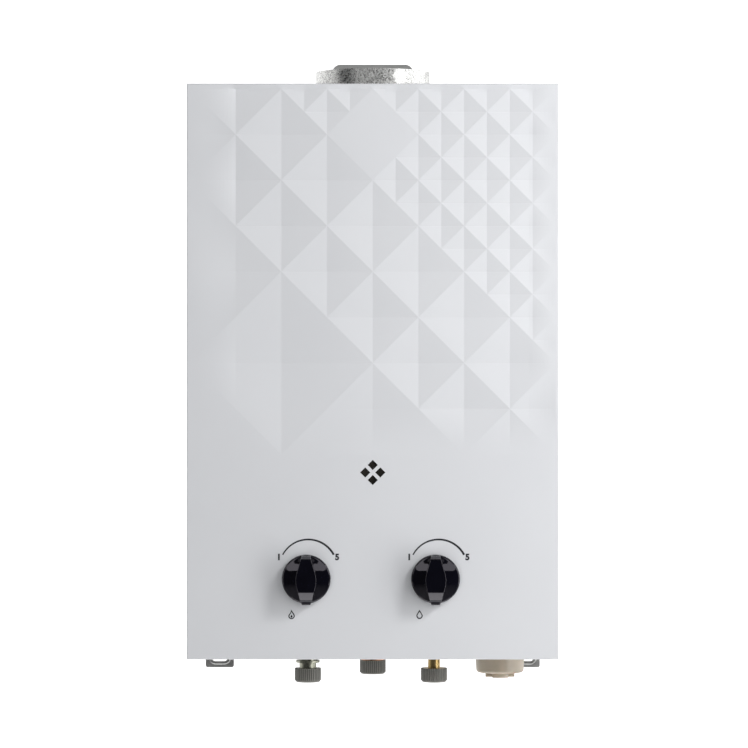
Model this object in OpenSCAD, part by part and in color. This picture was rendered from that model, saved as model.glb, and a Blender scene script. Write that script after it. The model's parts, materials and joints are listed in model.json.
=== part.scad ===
// Wall-hung natural-draught gas water heater.
// The wall is the plane y = 0, the front faces -Y, and z = 0 is the middle of the casing's height.

/* [Casing] */
// Width of the casing
case_w = 350; // [345:1:400]
// Height of the front cover
case_h = 542; // [530:1:620]
// Depth from the wall to the flat front
case_d = 165; // [163:1:190]
// Thickness of the pressed sheet steel
sheet_t = 1; // [0.8:0.1:1.2]
// Outer radius of the cover's long folds
fold_r = 1.5; // [1.5:0.5:6]
// Width of the lips folded in along the cover's top and bottom
lip_w = 16; // [12:1:20]
// Clearance between the cover and the back plate's flanges
cover_gap = 0.4; // [0.3:0.1:0.8]
// Distance from the wall to the cover's rear edges
cover_back = 3; // [2:0.5:6]
// Depth of the back plate's side flanges
flange_d = 20; // [14:1:24]
// Distance between the cover screws of one lip
screw_spacing = 240; // [200:1:280]
// Diameter of a cover screw's shank
screw_d = 4; // [3:0.5:5]

/* [Relief] */
// Half diagonal of the smallest diamond
relief_pitch = 21.5; // [18:0.5:26]
// Depth of the small diamonds
relief_small = 1.8; // [1:0.1:2.5]
// Depth of the middle-sized diamonds
relief_medium = 2.4; // [1:0.1:3]
// Depth of the large diamonds
relief_large = 4; // [1:0.1:5]
// Flat margin above the relief
relief_edge = 5; // [3:1:12]
// Step between the flat margin and the relief
relief_step = 0.2; // [0.1:0.05:0.25]
// Width of the smooth patch near the top
patch_w = 84; // [60:1:150]
// Height of the smooth patch
patch_h = 68; // [50:1:110]
// Distance from the casing's top to the patch's centre
patch_drop = 44; // [40:1:60]

/* [Sight window] */
// Height of the window's centre above the casing's bottom
window_rise = 176; // [172:1:180]
// Distance from the window's centre to each diamond's centre
window_pitch = 7.1; // [6:0.1:8]
// Half diagonal of a window diamond
window_half = 4.8; // [3:0.05:5]
// Width of the mica pane
pane_w = 30; // [26:1:34]
// Thickness of the mica pane
pane_t = 1; // [0.5:0.1:1.5]

/* [Wall mounting] */
// Width of the hanger plate
hanger_w = 80; // [60:1:120]
// Height of the hanger plate above the casing
hanger_rise = 32; // [28:1:40]
// Radius of the hanger plate's corners
hanger_corner_r = 8; // [3:1:12]
// Diameter of the hanging hole
hanger_hole_d = 9; // [7:0.5:11]
// Height of the hanging hole above the casing
hanger_hole_rise = 20; // [14:1:22]
// Distance between the two lower wall slots
slot_spacing = 302; // [280:1:312]
// End to end length of a wall slot
slot_l = 16; // [12:1:18]
// Width of a wall slot
slot_w = 8; // [6:0.5:9]
// Width of the raised rim round a slot
rim_w = 2; // [1:0.5:2.5]
// Height of the raised rim
rim_h = 1.2; // [0.5:0.1:2]
// Width of a lower wall tab
tab_w = 28; // [24:1:32]
// Distance that a wall tab reaches below the casing
tab_drop = 21; // [19:1:26]
// Distance of the slot's centre below the casing
slot_drop = 11; // [9:0.5:12]
// Radius of a wall tab's corners
tab_corner_r = 2; // [2:0.5:6]

/* [Flue] */
// Outer diameter of the flue collar
flue_d = 110; // [100:1:116]
// Height of the collar above the casing
flue_rise = 17; // [12:1:30]
// Distance from the wall to the collar's axis
flue_y = 82; // [81:1:84]
// Wall thickness of the collar
collar_t = 1; // [0.8:0.1:1.5]
// Width of the collar's foot flange
collar_foot = 8; // [7:0.5:10]
// Distance from the casing's top down to the hood's top
hood_drop = 22; // [16:1:30]
// Sheet thickness of the hood
hood_t = 1; // [0.8:0.1:1.5]
// Clearance between the collar and the top panel
collar_gap = 0.5; // [0.3:0.1:0.9]
// Height of the collar's stop bead above its wall
bead = 1; // [0.5:0.1:1.5]
// Diameter of a collar rivet
rivet_d = 3; // [2.5:0.5:4]

/* [Heat exchanger] */
// Width of the combustion chamber
chamber_w = 244; // [236:1:246]
// How far the chamber overhangs the burner bars at the front and the back
burner_margin = 10; // [9.5:0.5:11]
// Height of the combustion chamber
chamber_h = 168; // [166:1:180]
// Width of the brackets that carry the chamber
carrier_w = 140; // [100:1:180]
// Height of the brackets that carry the chamber
carrier_h = 16; // [12:1:20]
// Wall thickness of the chamber
chamber_t = 0.8; // [0.6:0.1:1.2]
// Radius of the chamber's upright edges
chamber_r = 12; // [10:1:12]
// Number of fins
fin_count = 36; // [12:1:48]
// Thickness of a fin
fin_t = 0.6; // [0.4:0.1:1]
// Height of a fin
fin_h = 36; // [30:1:40]
// Outer diameter of a water tube
tube_d = 16; // [14:0.5:17]
// Wall thickness of a water tube
tube_t = 0.8; // [0.6:0.1:1.2]
// Distance between neighbouring water tubes
tube_pitch = 23; // [22:0.5:23.5]
// Clearance of a water tube in fins and chamber wall
tube_gap = 0.15; // [0.1:0.05:0.4]
// Length of a water tube outside the chamber wall
tube_end = 6; // [4:1:8]
// Diameter of the coil and of the water pipes
pipe_d = 14; // [12:0.5:14.5]
// Wall thickness of the coil and the pipes
pipe_t = 1; // [0.8:0.1:1.5]
// Gap between the coil and the chamber wall
coil_gap = 0.3; // [0.2:0.1:0.8]
// Rise of the coil in one turn
coil_pitch = 36; // [32:1:38]

/* [Burner] */
// Number of burner bars
bar_count = 9; // [6:1:9]
// Distance between neighbouring bars
bar_pitch = 25; // [22:0.5:26]
// Width of a burner bar
bar_w = 13; // [10:0.5:15]
// Length of a burner bar
bar_l = 92; // [88:1:96]
// Height of a burner bar
bar_h = 36; // [34:1:36]
// Wall thickness of a burner bar
bar_t = 1; // [0.6:0.1:1.5]
// Height of the bars' underside above the casing's bottom
burner_rise = 148; // [147:1:152]
// Number of flame slots in a bar
flame_slots = 6; // [3:1:10]
// Width of a flame slot
flame_slot_w = 1.5; // [1:0.1:3]
// Side of the square gas manifold
manifold_s = 16; // [14:1:17]
// Diameter of an injector nozzle
nozzle_d = 5; // [4:0.5:6]

/* [Controls] */
// Height of the knobs' axes above the casing's bottom
valve_rise = 76; // [72:1:77]
// Sideways place of the flame knob and the gas valve
flame_x = -62.5; // [-66:0.5:-60]
// Sideways place of the water knob and the water valve
water_x = 59; // [57:0.5:62]
// Diameter of a knob
knob_d = 46; // [40:1:52]
// Height of a knob's grip above the cover
knob_h = 22; // [18:1:28]
// Height of a knob's round skirt
skirt_h = 9; // [7:0.5:11]
// Gap between a knob and the cover
knob_gap = 1.2; // [0.8:0.1:2]
// Diameter of the knob spindles
spindle_d = 8; // [6:0.5:9]
// Diameter of the regulating plugs
plug_d = 16; // [14:0.5:17]
// Radial clearance of turning and sliding shafts
run_gap = 0.05; // [0.03:0.01:0.09]
// Clearance between pieces that move past each other
move_gap = 0.3; // [0.2:0.05:0.4]

/* [Valves] */
// Width of the gas valve body
gas_body_w = 56; // [54:1:58]
// Depth of the valve bodies
valve_d = 46; // [42:1:46]
// Height of the valve bodies below the knob axis
valve_down = 26; // [22:1:28]
// Height of the valve bodies above the knob axis
valve_up = 36; // [34:1:36]
// Width of the water valve body
water_body_w = 44; // [40:1:48]
// Height of the push rod above the knob axis
rod_lift = 22; // [21:0.5:23]
// Diameter of the push rod
rod_d = 6; // [4:0.5:7]
// Diameter of the gas valve chamber
gas_chamber_d = 18; // [17:0.5:19]
// Diameter of the diaphragm and its flanges
diaphragm_d = 56; // [54:1:57]
// Thickness of the diaphragm
diaphragm_t = 2; // [1:0.5:3]
// Depth of the diaphragm cover
diaphragm_cover_t = 14; // [13:0.5:15]
// Thickness of the water valve's flange
water_flange_t = 10; // [9:0.5:11]

/* [Connections] */
// Distance from the wall to the gas and cold water connections
conn_y = 85; // [85:0.5:86]
// Distance from the wall to the hot water connection
hot_y = 45; // [44:0.5:46]
// Outside diameter of the half-inch pipe threads
thread_d = 20.8; // [20:0.1:21.2]
// Outer diameter of a transit cap
cap_d = 25.4; // [24.5:0.1:28]
// Height of a transit cap
cap_h = 13.5; // [13:0.5:16]
// Thickness of a transit cap's end
cap_end = 1.8; // [1.2:0.1:2.5]
// Clearance between a transit cap and its thread
cap_gap = 0.4; // [0.3:0.1:0.6]
// Number of ribs on a transit cap
cap_ribs = 40; // [24:1:44]
// Depth of a transit cap's ribs
cap_rib_h = 0.6; // [0.3:0.1:0.8]
// Distance that the gas cap reaches below the casing
gas_drop = 28; // [26:0.5:32]
// Distance that the hot water cap reaches below the casing
hot_drop = 23.5; // [23:0.5:28]
// Distance that the cold water cap reaches below the casing
cold_drop = 28; // [26:0.5:32]
// Diameter of the gas fitting's visible neck
gas_neck_d = 16.4; // [14:0.2:18]
// Diameter of the cold fitting's visible neck
cold_neck_d = 11.6; // [10:0.2:16]

/* [Batteries] */
// Distance from the casing's right side to the battery tube's axis
battery_inset = 52.5; // [52:0.5:54]
// Diameter of a battery cell
cell_d = 34.2; // [32:0.1:34.4]
// Length of a battery cell
cell_l = 61.5; // [59:0.5:62]
// Clearance round the cells
cell_gap = 0.5; // [0.3:0.1:0.8]
// Wall thickness of the battery tube
battery_wall = 2; // [1.5:0.1:2.2]
// Diameter of the battery cap
battery_cap_d = 47.4; // [46.5:0.1:50]
// Distance that the battery cap's drum reaches below the casing
battery_drop = 18.6; // [18:0.2:22]
// Diameter of the battery cap's grip
grip_d = 28; // [22:1:34]
// Height of the battery cap's grip
grip_h = 4.5; // [3:0.5:7]
// Width of the bar across the battery cap's grip
grip_bar_w = 15.5; // [12:0.5:20]
// Thickness of the web behind the grip's finger recesses
grip_web_t = 3; // [2:0.5:5]

/* [Ignition] */
// Width of the ignition module
module_w = 55; // [45:1:58]
// Depth of the ignition module
module_d = 30; // [26:1:32]
// Height of the ignition module
module_h = 80; // [76:1:84]
// Diameter of the electrodes' ceramic sleeves
ceramic_d = 7; // [5:0.5:8]
// Diameter of the electrode rods
electrode_d = 2; // [1.5:0.1:2.5]
// Diameter of the insulated leads
lead_d = 3; // [2:0.5:3.5]

/* [Hidden] */
$fn = 48;

// How far a cut runs past the face it opens
over = 2;

// Casing planes
half_w = case_w / 2;
top_z = case_h / 2;
bot_z = -top_z;
front_y = -case_d;
inner_front_y = front_y + sheet_t;
tray_x = half_w - sheet_t - cover_gap;
panel_gap = 0.2;
panel_x = tray_x - sheet_t - panel_gap;
hanger_z = top_z + hanger_hole_rise;
slot_z = bot_z - slot_drop;
screw_y = front_y + lip_w / 2 + sheet_t;
screw_hole_gap = 0.2;

// Relief field: columns fill the front, rows hang from the top, bands follow the falling diagonal
columns = 2 * floor((half_w - fold_r) / relief_pitch);
rows_up = floor((top_z - relief_edge) / relief_pitch);
relief_top = top_z - relief_edge;
relief_mid = relief_top - rows_up * relief_pitch;
window_z = bot_z + window_rise;
clip_w = pane_w + 3;
rows_down = floor((relief_mid - window_z - clip_w / 2) / relief_pitch);
rows = rows_up + rows_down;
small_from = 8;
medium_from = 0;
large_from = -8;
fade_left = 2;
patch_core = 0.75;
patch_soft = 2.5;
patch_z = top_z - patch_drop;
relief_tuck = 1.5;

// Flue, exchanger and burner
flue_r = flue_d / 2;
mid_y = -flue_y;
hood_top = top_z - hood_drop;
hood_d = flue_d + 2 * collar_foot + 2;
hood_w = flue_d + 2 * collar_foot + 4;
collar_hem = 3;
rivet_r = flue_r + collar_foot / 2 + 0.5;
rivet_gap = 0.05;
burner_z = bot_z + burner_rise;
chamber_d = bar_l + 2 * burner_margin;
chamber_z = burner_z + bar_h + 2;
chamber_top = chamber_z + chamber_h;
hood_skirt = 20;
fin_z = chamber_top - fin_h / 2 - 6;
tube_x = chamber_w / 2 + tube_end;
function tube_y(k) = mid_y + (1.5 - k) * tube_pitch;
pipe_r = pipe_d / 2;
coil_r = chamber_r + coil_gap + pipe_r;
coil_x = chamber_w / 2 + coil_gap + pipe_r;
coil_front = mid_y - chamber_d / 2 - coil_gap - pipe_r;
coil_back = mid_y + chamber_d / 2 + coil_gap + pipe_r;
coil_z = chamber_z + coil_pitch;
carrier_inset = 2;
carrier_drop = 44;

// Valve train
valve_z = bot_z + valve_rise;
rod_z = valve_z + rod_lift;
valve_y = -conn_y;
valve_front = valve_y - valve_d / 2;
valve_rear = valve_y + valve_d / 2;
valve_top = valve_z + valve_up;
valve_bottom = valve_z - valve_down;
boss_h = 6;
lane_z = valve_top + boss_h + 11;
gas_left = flame_x - gas_body_w / 2;
gas_right = flame_x + gas_body_w / 2;
seat_x = gas_left + 34.5;
gallery_d = 14;
gallery_end = gas_right - 5.5;
disc_t = 3;
disc_x = seat_x - move_gap - disc_t;
outlet_x = flame_x + 16;
water_left = water_x - water_body_w / 2;
flange_x = water_left - water_flange_t;
diaphragm_x = flange_x - diaphragm_t;
cover_x = diaphragm_x - diaphragm_cover_t;
gland_l = 8;
plate_t = 2;
plate_x = diaphragm_x - move_gap - plate_t;
plug_deep = 32;
bush_l = 8;
plug_front = valve_front + bush_l + move_gap;
plug_rear = valve_front + plug_deep - move_gap;
end_cover_t = 3;
diaphragm_screws = 6;
valve_screw_d = 3;
valve_screw_r = diaphragm_d / 2 - 3.5;
end_screw_pitch = 22;

// Microswitch lever, hung beside a collar on the push rod
pivot_z = rod_z + 16;
lever_t = 1;
lever_w = 6;
switch_l = 16;
lever_reach = 6.5;
lever_x = gas_right + switch_l + lever_reach;

// Connections
seal_t = 2;
inlet_boss_h = 8;
fitting_top = valve_bottom - inlet_boss_h - seal_t;
hot_x = 0;
fitting_r = 9;
nut_d = 26;
nut_h = 12;
gas_bore = 11;
cold_bore = 7.6;
hot_bore = 11;
gas_flange_d = 23;
gas_flange_drop = 7;
cold_neck_drop = 2;
hot_socket_d = 20;
hot_socket_rise = 32;
hot_nut_d = 28;
hot_nut_h = 2;
hot_ring_d = 24.4;
hot_top = bot_z + hot_socket_rise;
ring_h = 2.2;
seal_d = 22;
seal_bore = 13;
valve_bracket_w = 32;
valve_bracket_h = 24;
pivot_d = 2;
switch_w = 10;
switch_h = 10;
switch_lift = 9;
base_gap = 0.5;

// Batteries
battery_x = half_w - battery_inset;
battery_y = valve_y;
battery_in = cell_d / 2 + cell_gap;
battery_out = battery_in + battery_wall;
battery_floor = bot_z - battery_drop + 4;
spring_h = 8;
cell_z = battery_floor + spring_h + move_gap;
cell_top = cell_z + 2 * cell_l;
battery_roof = cell_top + 5;
lug_r = battery_out + 1.6;
lug_low = bot_z - 6.2;
lug_h = 2;
battery_cap_top = bot_z - 1.2;

// Ignition
module_x = -half_w + 15;
module_z = bot_z + 42;
rail_t = 1.2;
rail_front = mid_y - bar_l / 2 - rail_t - 0.2;
manifold_back = rail_front - 8;
manifold_z = burner_z + 10;
electrode_x = bar_pitch / 2;
electrode_y = mid_y - chamber_d / 2 + chamber_t + ceramic_d / 2 + move_gap;
electrode_z = manifold_z + manifold_s / 2 + 6;

// Small helpers for solids along the axes
module block(low, high) {
    translate(low) cube(high - low);
}

module x_rod(x0, x1, d, y, z) {
    translate([x0, y, z]) rotate([0, 90, 0]) cylinder(d = d, h = x1 - x0);
}

module y_rod(y0, y1, d, x, z) {
    translate([x, y0, z]) rotate([-90, 0, 0]) cylinder(d = d, h = y1 - y0);
}

module z_rod(z0, z1, d, x, y) {
    translate([x, y, z0]) cylinder(d = d, h = z1 - z0);
}

// Stands an outline drawn in x and z on the wall plane, as a sheet that reaches t forward
module wall_sheet(t) {
    rotate([90, 0, 0]) linear_extrude(t) children();
}

module slot_outline(l, w) {
    square([l - w, w], center = true);
    for (s = [-1, 1]) translate([s * (l - w) / 2, 0]) circle(d = w);
}

// Tab that hangs down from the origin, with its lower corners rounded
module tab_outline(w, h, r) {
    translate([-w / 2, r - h]) square([w, h - r]);
    translate([r - w / 2, -h]) square([w - 2 * r, 2 * r]);
    for (s = [-1, 1]) translate([s * (w / 2 - r), r - h]) circle(r);
}

module rounded_plan(w, d, r) {
    square([w - 2 * r, d], center = true);
    square([w, d - 2 * r], center = true);
    for (sx = [-1, 1], sy = [-1, 1]) translate([sx * (w / 2 - r), sy * (d / 2 - r)]) circle(r);
}

// Swept tubes: a path of points, its corners rounded, and a ring of sides round each point
function unit(v) = v / norm(v);
function bend(a, b, c, r, n) =
    let (p = b + unit(a - b) * r, q = b + unit(c - b) * r)
    [for (k = [0:n]) let (f = k / n) (1 - f) ^ 2 * p + 2 * f * (1 - f) * b + f ^ 2 * q];
function rounded_path(points, r, n = 5) = concat(
    [points[0]],
    [for (i = [1:len(points) - 2]) each bend(points[i - 1], points[i], points[i + 1], r, n)],
    [points[len(points) - 1]]
);
function tangent(path, i) =
    let (last = len(path) - 1)
    i == 0 ? unit(path[1] - path[0])
    : i == last ? unit(path[last] - path[last - 1])
    : unit(unit(path[i + 1] - path[i]) + unit(path[i] - path[i - 1]));
function across(t) = unit(cross(t, abs(t.z) < 0.9 ? [0, 0, 1] : [0, 1, 0]));
function carried(n, t) = unit(n - t * (n * t));
function normals(path) = [
    for (i = 0, n = across(tangent(path, 0)); i < len(path);
         i = i + 1, n = i < len(path) ? carried(n, tangent(path, i)) : n) n
];
function rings(path, r, sides) =
    let (ns = normals(path))
    [for (i = [0:len(path) - 1], k = [0:sides - 1])
        let (a = 360 * k / sides, n = ns[i], b = cross(tangent(path, i), n))
        path[i] + r * (cos(a) * n + sin(a) * b)];

module swept_rod(path, d, sides) {
    last = len(path) - 1;
    walls = [for (i = [0:last - 1], k = [0:sides - 1])
        let (a = i * sides + k, b = i * sides + (k + 1) % sides, c = b + sides, e = a + sides)
        each [[a, e, c], [a, c, b]]];
    start = [for (k = [1:sides - 2]) [0, k, k + 1]];
    end = [for (k = [1:sides - 2]) [last * sides, last * sides + k + 1, last * sides + k]];
    polyhedron(rings(path, d / 2, sides), concat(walls, start, end), convexity = 8);
}

module swept_tube(path, d, t, sides) {
    last = len(path) - 1;
    count = len(path) * sides;
    walls = [for (i = [0:last - 1], k = [0:sides - 1])
        let (a = i * sides + k, b = i * sides + (k + 1) % sides, c = b + sides, e = a + sides)
        each [[a, e, c], [a, c, b], [a + count, c + count, e + count], [a + count, b + count, c + count]]];
    ends = [for (k = [0:sides - 1])
        let (a = k, b = (k + 1) % sides, c = last * sides + a, e = last * sides + b)
        each [[a, b, b + count], [a, b + count, a + count], [e, c, c + count], [e, c + count, e + count]]];
    skins = concat(rings(path, d / 2, sides), rings(path, d / 2 - t, sides));
    polyhedron(skins, concat(walls, ends), convexity = 8);
}

// Relief depth at lattice point (i, j), counted from the middle of the front
function wrap(a, m) = a - m * floor(a / m);
function fade(a) = min(1, max(0, a));
function patch_fade(x, z) =
    fade(((2 * x / patch_w) ^ 2 + (2 * (z - patch_z) / patch_h) ^ 2 - patch_core) / patch_soft);
function centre(a, n) = a - wrap(a, 2 * n) + n;
function diamond(s, t, n) = 1 - max(abs(wrap(s, 2 * n) - n), abs(wrap(t, 2 * n) - n)) / n;
function pressed(s, t, from, n) =
    let (a = from + centre(s - from, n), b = centre(t, n))
    diamond(s - from, t, n)
        * patch_fade((a + b) / 2 * relief_pitch, relief_mid + (a - b) / 2 * relief_pitch);
function relief_depth(i, j) =
    let (s = i + j, t = i - j)
    abs(i) == columns / 2 || j == rows_up || j == -rows_down || s < large_from ? 0
    : (s >= small_from ? relief_small * pressed(s, t, small_from, 1)
        : s >= medium_from ? relief_medium * pressed(s, t, medium_from, 2)
        : relief_large * pressed(s, t, large_from, 4))
        * fade((i + columns / 2) / fade_left) ^ 2
        * (t > 0 ? fade((j + rows_down) / max(1, rows_down - 1)) : 1);

module relief_sheet() {
    thick = sheet_t - 2 * relief_step;
    line = rows + 1;
    count = (columns + 1) * line;
    front = [for (i = [0:columns], j = [0:rows])
        let (a = i - columns / 2, b = j - rows_down)
        [a * relief_pitch, front_y + relief_step + relief_depth(a, b), relief_mid + b * relief_pitch]];
    back = [for (p = front) p + [0, thick, 0]];
    cells = [for (i = [0:columns - 1], j = [0:rows - 1])
        let (a = i * line + j, b = a + 1, c = a + line + 1, e = a + line)
        each (wrap(i - columns / 2 - j + rows_down, 2) == 0
            ? [[a, b, c], [a, c, e]] : [[a, b, e], [b, c, e]])];
    rear = [for (f = cells) [f[2] + count, f[1] + count, f[0] + count]];
    rim = concat(
        [for (i = [0:columns - 1]) let (a = i * line, b = a + line)
            each [[a, b, b + count], [a, b + count, a + count]]],
        [for (i = [0:columns - 1]) let (a = i * line + rows, b = a + line)
            each [[b, a, a + count], [b, a + count, b + count]]],
        [for (j = [0:rows - 1]) each [[j + 1, j, j + count], [j + 1, j + count, j + 1 + count]]],
        [for (j = [0:rows - 1]) let (a = columns * line + j)
            each [[a, a + 1, a + 1 + count], [a, a + 1 + count, a + count]]]
    );
    polyhedron(concat(front, back), concat(cells, rear, rim), convexity = 8);
}

// Plan of the cover, open towards the wall
module cover_plan(inset, r, back) {
    w = case_w - 2 * inset;
    d = case_d - inset;
    translate([-w / 2, r - d]) square([w, d - r - back]);
    translate([r - w / 2, -d]) square([w - 2 * r, 2 * r]);
    for (s = [-1, 1]) translate([s * (w / 2 - r), r - d]) circle(r);
}

module cover_lip() {
    linear_extrude(sheet_t) intersection() {
        cover_plan(sheet_t / 2, fold_r - sheet_t / 2, cover_back);
        translate([-half_w, front_y]) square([case_w, lip_w]);
    }
}

// The four cover screws' places, with the origin at the middle of each head
module screw_places() {
    for (s = [-1, 1]) {
        translate([s * screw_spacing / 2, screw_y, top_z]) children();
        translate([s * screw_spacing / 2, screw_y, bot_z]) mirror([0, 0, 1]) children();
    }
}

// Countersunk hole through two sheets
module countersink(gap) {
    translate([0, 0, -2 * sheet_t])
        cylinder(d1 = screw_d + 2 * gap, d2 = 2 * screw_d + 2 * gap, h = 2 * sheet_t);
    translate([0, 0, -2 * sheet_t - over]) cylinder(d = screw_d + 2 * gap, h = 2 * over);
    translate([0, 0, -over / 100]) cylinder(d = 2 * screw_d + 2 * gap, h = over);
}

module front_cover() {
    color("whitesmoke") difference() {
        union() {
            difference() {
                translate([0, 0, bot_z]) linear_extrude(case_h) difference() {
                    cover_plan(0, fold_r, cover_back);
                    cover_plan(sheet_t, fold_r - sheet_t, -over);
                }
                block(
                    [relief_tuck - columns / 2 * relief_pitch, front_y - over,
                        relief_mid - rows_down * relief_pitch + relief_tuck],
                    [columns / 2 * relief_pitch - relief_tuck, inner_front_y + over, relief_top - relief_tuck]
                );
            }
            translate([0, 0, bot_z]) cover_lip();
            translate([0, 0, top_z - sheet_t]) cover_lip();
            relief_sheet();
        }
        for (x = [flame_x, water_x])
            y_rod(front_y - over, inner_front_y + over, spindle_d + 4, x, valve_z);
        for (a = [0:90:270])
            translate([window_pitch * cos(a), front_y, window_z + window_pitch * sin(a)]) rotate([0, 45, 0])
                cube([window_half * sqrt(2), 4 * over, window_half * sqrt(2)], center = true);
        screw_places() countersink(screw_hole_gap);
    }
}

module back_plate() {
    root = 10;
    color("silver") difference() {
        union() {
            wall_sheet(sheet_t) {
                translate([-tray_x, bot_z]) square([2 * tray_x, case_h]);
                translate([0, top_z - root]) mirror([0, 1])
                    tab_outline(hanger_w, hanger_rise + root, hanger_corner_r);
                for (s = [-1, 1]) translate([s * slot_spacing / 2, bot_z + root])
                    tab_outline(tab_w, tab_drop + root, tab_corner_r);
            }
            for (s = [-1, 1]) translate([s * (tray_x - sheet_t / 2), -flange_d / 2, 0])
                cube([sheet_t, flange_d, case_h], center = true);
            for (s = [-1, 1]) translate([s * slot_spacing / 2, 0, slot_z])
                wall_sheet(sheet_t + rim_h) slot_outline(slot_l + 2 * rim_w, slot_w + 2 * rim_w);
        }
        y_rod(-sheet_t - over, over, hanger_hole_d, 0, hanger_z);
        for (s = [-1, 1]) translate([s * slot_spacing / 2, over, slot_z])
            wall_sheet(sheet_t + rim_h + 2 * over) slot_outline(slot_l, slot_w);
    }
}

// Sheet that closes the casing's top or bottom, with its rear flange on the back plate
module end_sheet(z, flange_z) {
    flange_h = 12;
    block([-panel_x, inner_front_y + panel_gap, z], [panel_x, -sheet_t, z + sheet_t]);
    block([-panel_x, -2 * sheet_t, min(z, flange_z - flange_h)],
        [panel_x, -sheet_t, max(z + sheet_t, flange_z)]);
}

module top_panel() {
    low = top_z - 2 * sheet_t;
    color("gainsboro") difference() {
        end_sheet(low, low + sheet_t);
        z_rod(low - over, top_z, flue_d + 2 * bead + 2 * collar_gap, 0, mid_y);
        screw_places() countersink(screw_hole_gap);
    }
}

module base_panel() {
    low = bot_z + sheet_t;
    air_l = 26;
    air_w = 5;
    air_pitch = 36;
    air_rows = [valve_y - 36, valve_y - 48, -hot_y + 24];
    flange_h = 12;
    color("gainsboro") difference() {
        end_sheet(low, low + flange_h);
        for (x = [flame_x, water_x])
            z_rod(low - over, low + sheet_t + over, 2 * (fitting_r + base_gap), x, valve_y);
        z_rod(low - over, low + sheet_t + over, 2 * (fitting_r + base_gap), hot_x, -hot_y);
        z_rod(low - over, low + sheet_t + over, 2 * (battery_out + move_gap), battery_x, battery_y);
        screw_places() countersink(screw_hole_gap);
        for (i = [-3:3], y = air_rows)
            translate([i * air_pitch, y, low - over]) linear_extrude(sheet_t + 2 * over)
                slot_outline(air_l, air_w);
    }
}

// Cross-slotted screw whose head lies flush with the origin
module cover_screw() {
    shank_l = 6;
    slot_t = 1;
    slot_l = 1.4 * screw_d;
    difference() {
        union() {
            translate([0, 0, -2 * sheet_t]) cylinder(d1 = screw_d, d2 = 2 * screw_d, h = 2 * sheet_t);
            translate([0, 0, -shank_l]) cylinder(d = screw_d, h = shank_l - sheet_t);
        }
        for (a = [0, 90]) rotate([0, 0, a]) translate([-slot_l / 2, -slot_t / 2, -sheet_t])
            cube([slot_l, slot_t, 2 * over]);
    }
}

module cover_screws() {
    color("gray") screw_places() cover_screw();
}

module window_pane() {
    color("darkslategray") translate([-pane_w / 2, inner_front_y, window_z - pane_w / 2])
        cube([pane_w, pane_t, pane_w]);
}

module window_clip() {
    hole_w = pane_w - 6;
    slack = 0.2;
    color("silver") difference() {
        translate([-clip_w / 2, inner_front_y, window_z - clip_w / 2])
            cube([clip_w, pane_t + slack + sheet_t, clip_w]);
        translate([-pane_w / 2 - slack, inner_front_y - over, window_z - pane_w / 2 - slack])
            cube([pane_w + 2 * slack, over + pane_t + slack, pane_w + 2 * slack]);
        translate([-hole_w / 2, inner_front_y, window_z - hole_w / 2])
            cube([hole_w, pane_t + 4 * over, hole_w]);
    }
}

module hood_outline(inset, drop) {
    w = chamber_w / 2 + 4 - inset;
    t = hood_w / 2 - inset;
    polygon([
        [-w, chamber_top + drop], [w, chamber_top + drop], [w, chamber_top + hood_skirt],
        [t, hood_top - inset], [-t, hood_top - inset], [-w, chamber_top + hood_skirt]
    ]);
}

module flue_hood() {
    color("silver") difference() {
        translate([0, mid_y + hood_d / 2, 0]) wall_sheet(hood_d) hood_outline(0, 0);
        translate([0, mid_y + hood_d / 2 - hood_t, 0]) wall_sheet(hood_d - 2 * hood_t)
            hood_outline(hood_t, hood_t);
        translate([0, mid_y, chamber_top - over]) linear_extrude(2 * over + hood_t)
            rounded_plan(chamber_w - 2 * chamber_t, chamber_d - 2 * chamber_t, chamber_r - chamber_t);
        z_rod(hood_top - hood_t - over, hood_top + over, flue_d - 2 * collar_t, 0, mid_y);
        for (a = [45:90:315])
            z_rod(hood_top - hood_t - over, hood_top + over, rivet_d + 2 * rivet_gap,
                rivet_r * cos(a), mid_y + rivet_r * sin(a));
        block([-chamber_w / 3, mid_y + hood_d / 2 - hood_t - over, chamber_top + 5],
            [chamber_w / 3, mid_y + hood_d / 2 + over, chamber_top + hood_skirt - 2]);
    }
}

module flue_collar() {
    top = top_z + flue_rise;
    in_r = flue_r - collar_t;
    color("darkgray") difference() {
        translate([0, mid_y, 0]) rotate_extrude() polygon([
            [in_r, hood_top], [flue_r + collar_foot, hood_top], [flue_r + collar_foot, hood_top + collar_t],
            [flue_r, hood_top + collar_t], [flue_r, top_z + 0.5], [flue_r + bead, top_z + 0.5],
            [flue_r + bead, top_z + 2], [flue_r, top_z + 2], [flue_r, top], [in_r - collar_t / 2, top],
            [in_r - collar_t / 2, top - collar_hem], [in_r, top - collar_hem]
        ]);
        for (a = [45:90:315])
            z_rod(hood_top - over, hood_top + collar_t + over, rivet_d + 2 * rivet_gap,
                rivet_r * cos(a), mid_y + rivet_r * sin(a));
    }
}

module collar_rivets() {
    head_h = 1.2;
    color("gray") for (a = [45:90:315]) translate([rivet_r * cos(a), mid_y + rivet_r * sin(a), 0]) {
        z_rod(hood_top - hood_t - head_h, hood_top + collar_t + head_h, rivet_d, 0, 0);
        z_rod(hood_top + collar_t, hood_top + collar_t + head_h, 1.8 * rivet_d, 0, 0);
        z_rod(hood_top - hood_t - head_h, hood_top - hood_t, 1.6 * rivet_d, 0, 0);
    }
}

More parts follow.
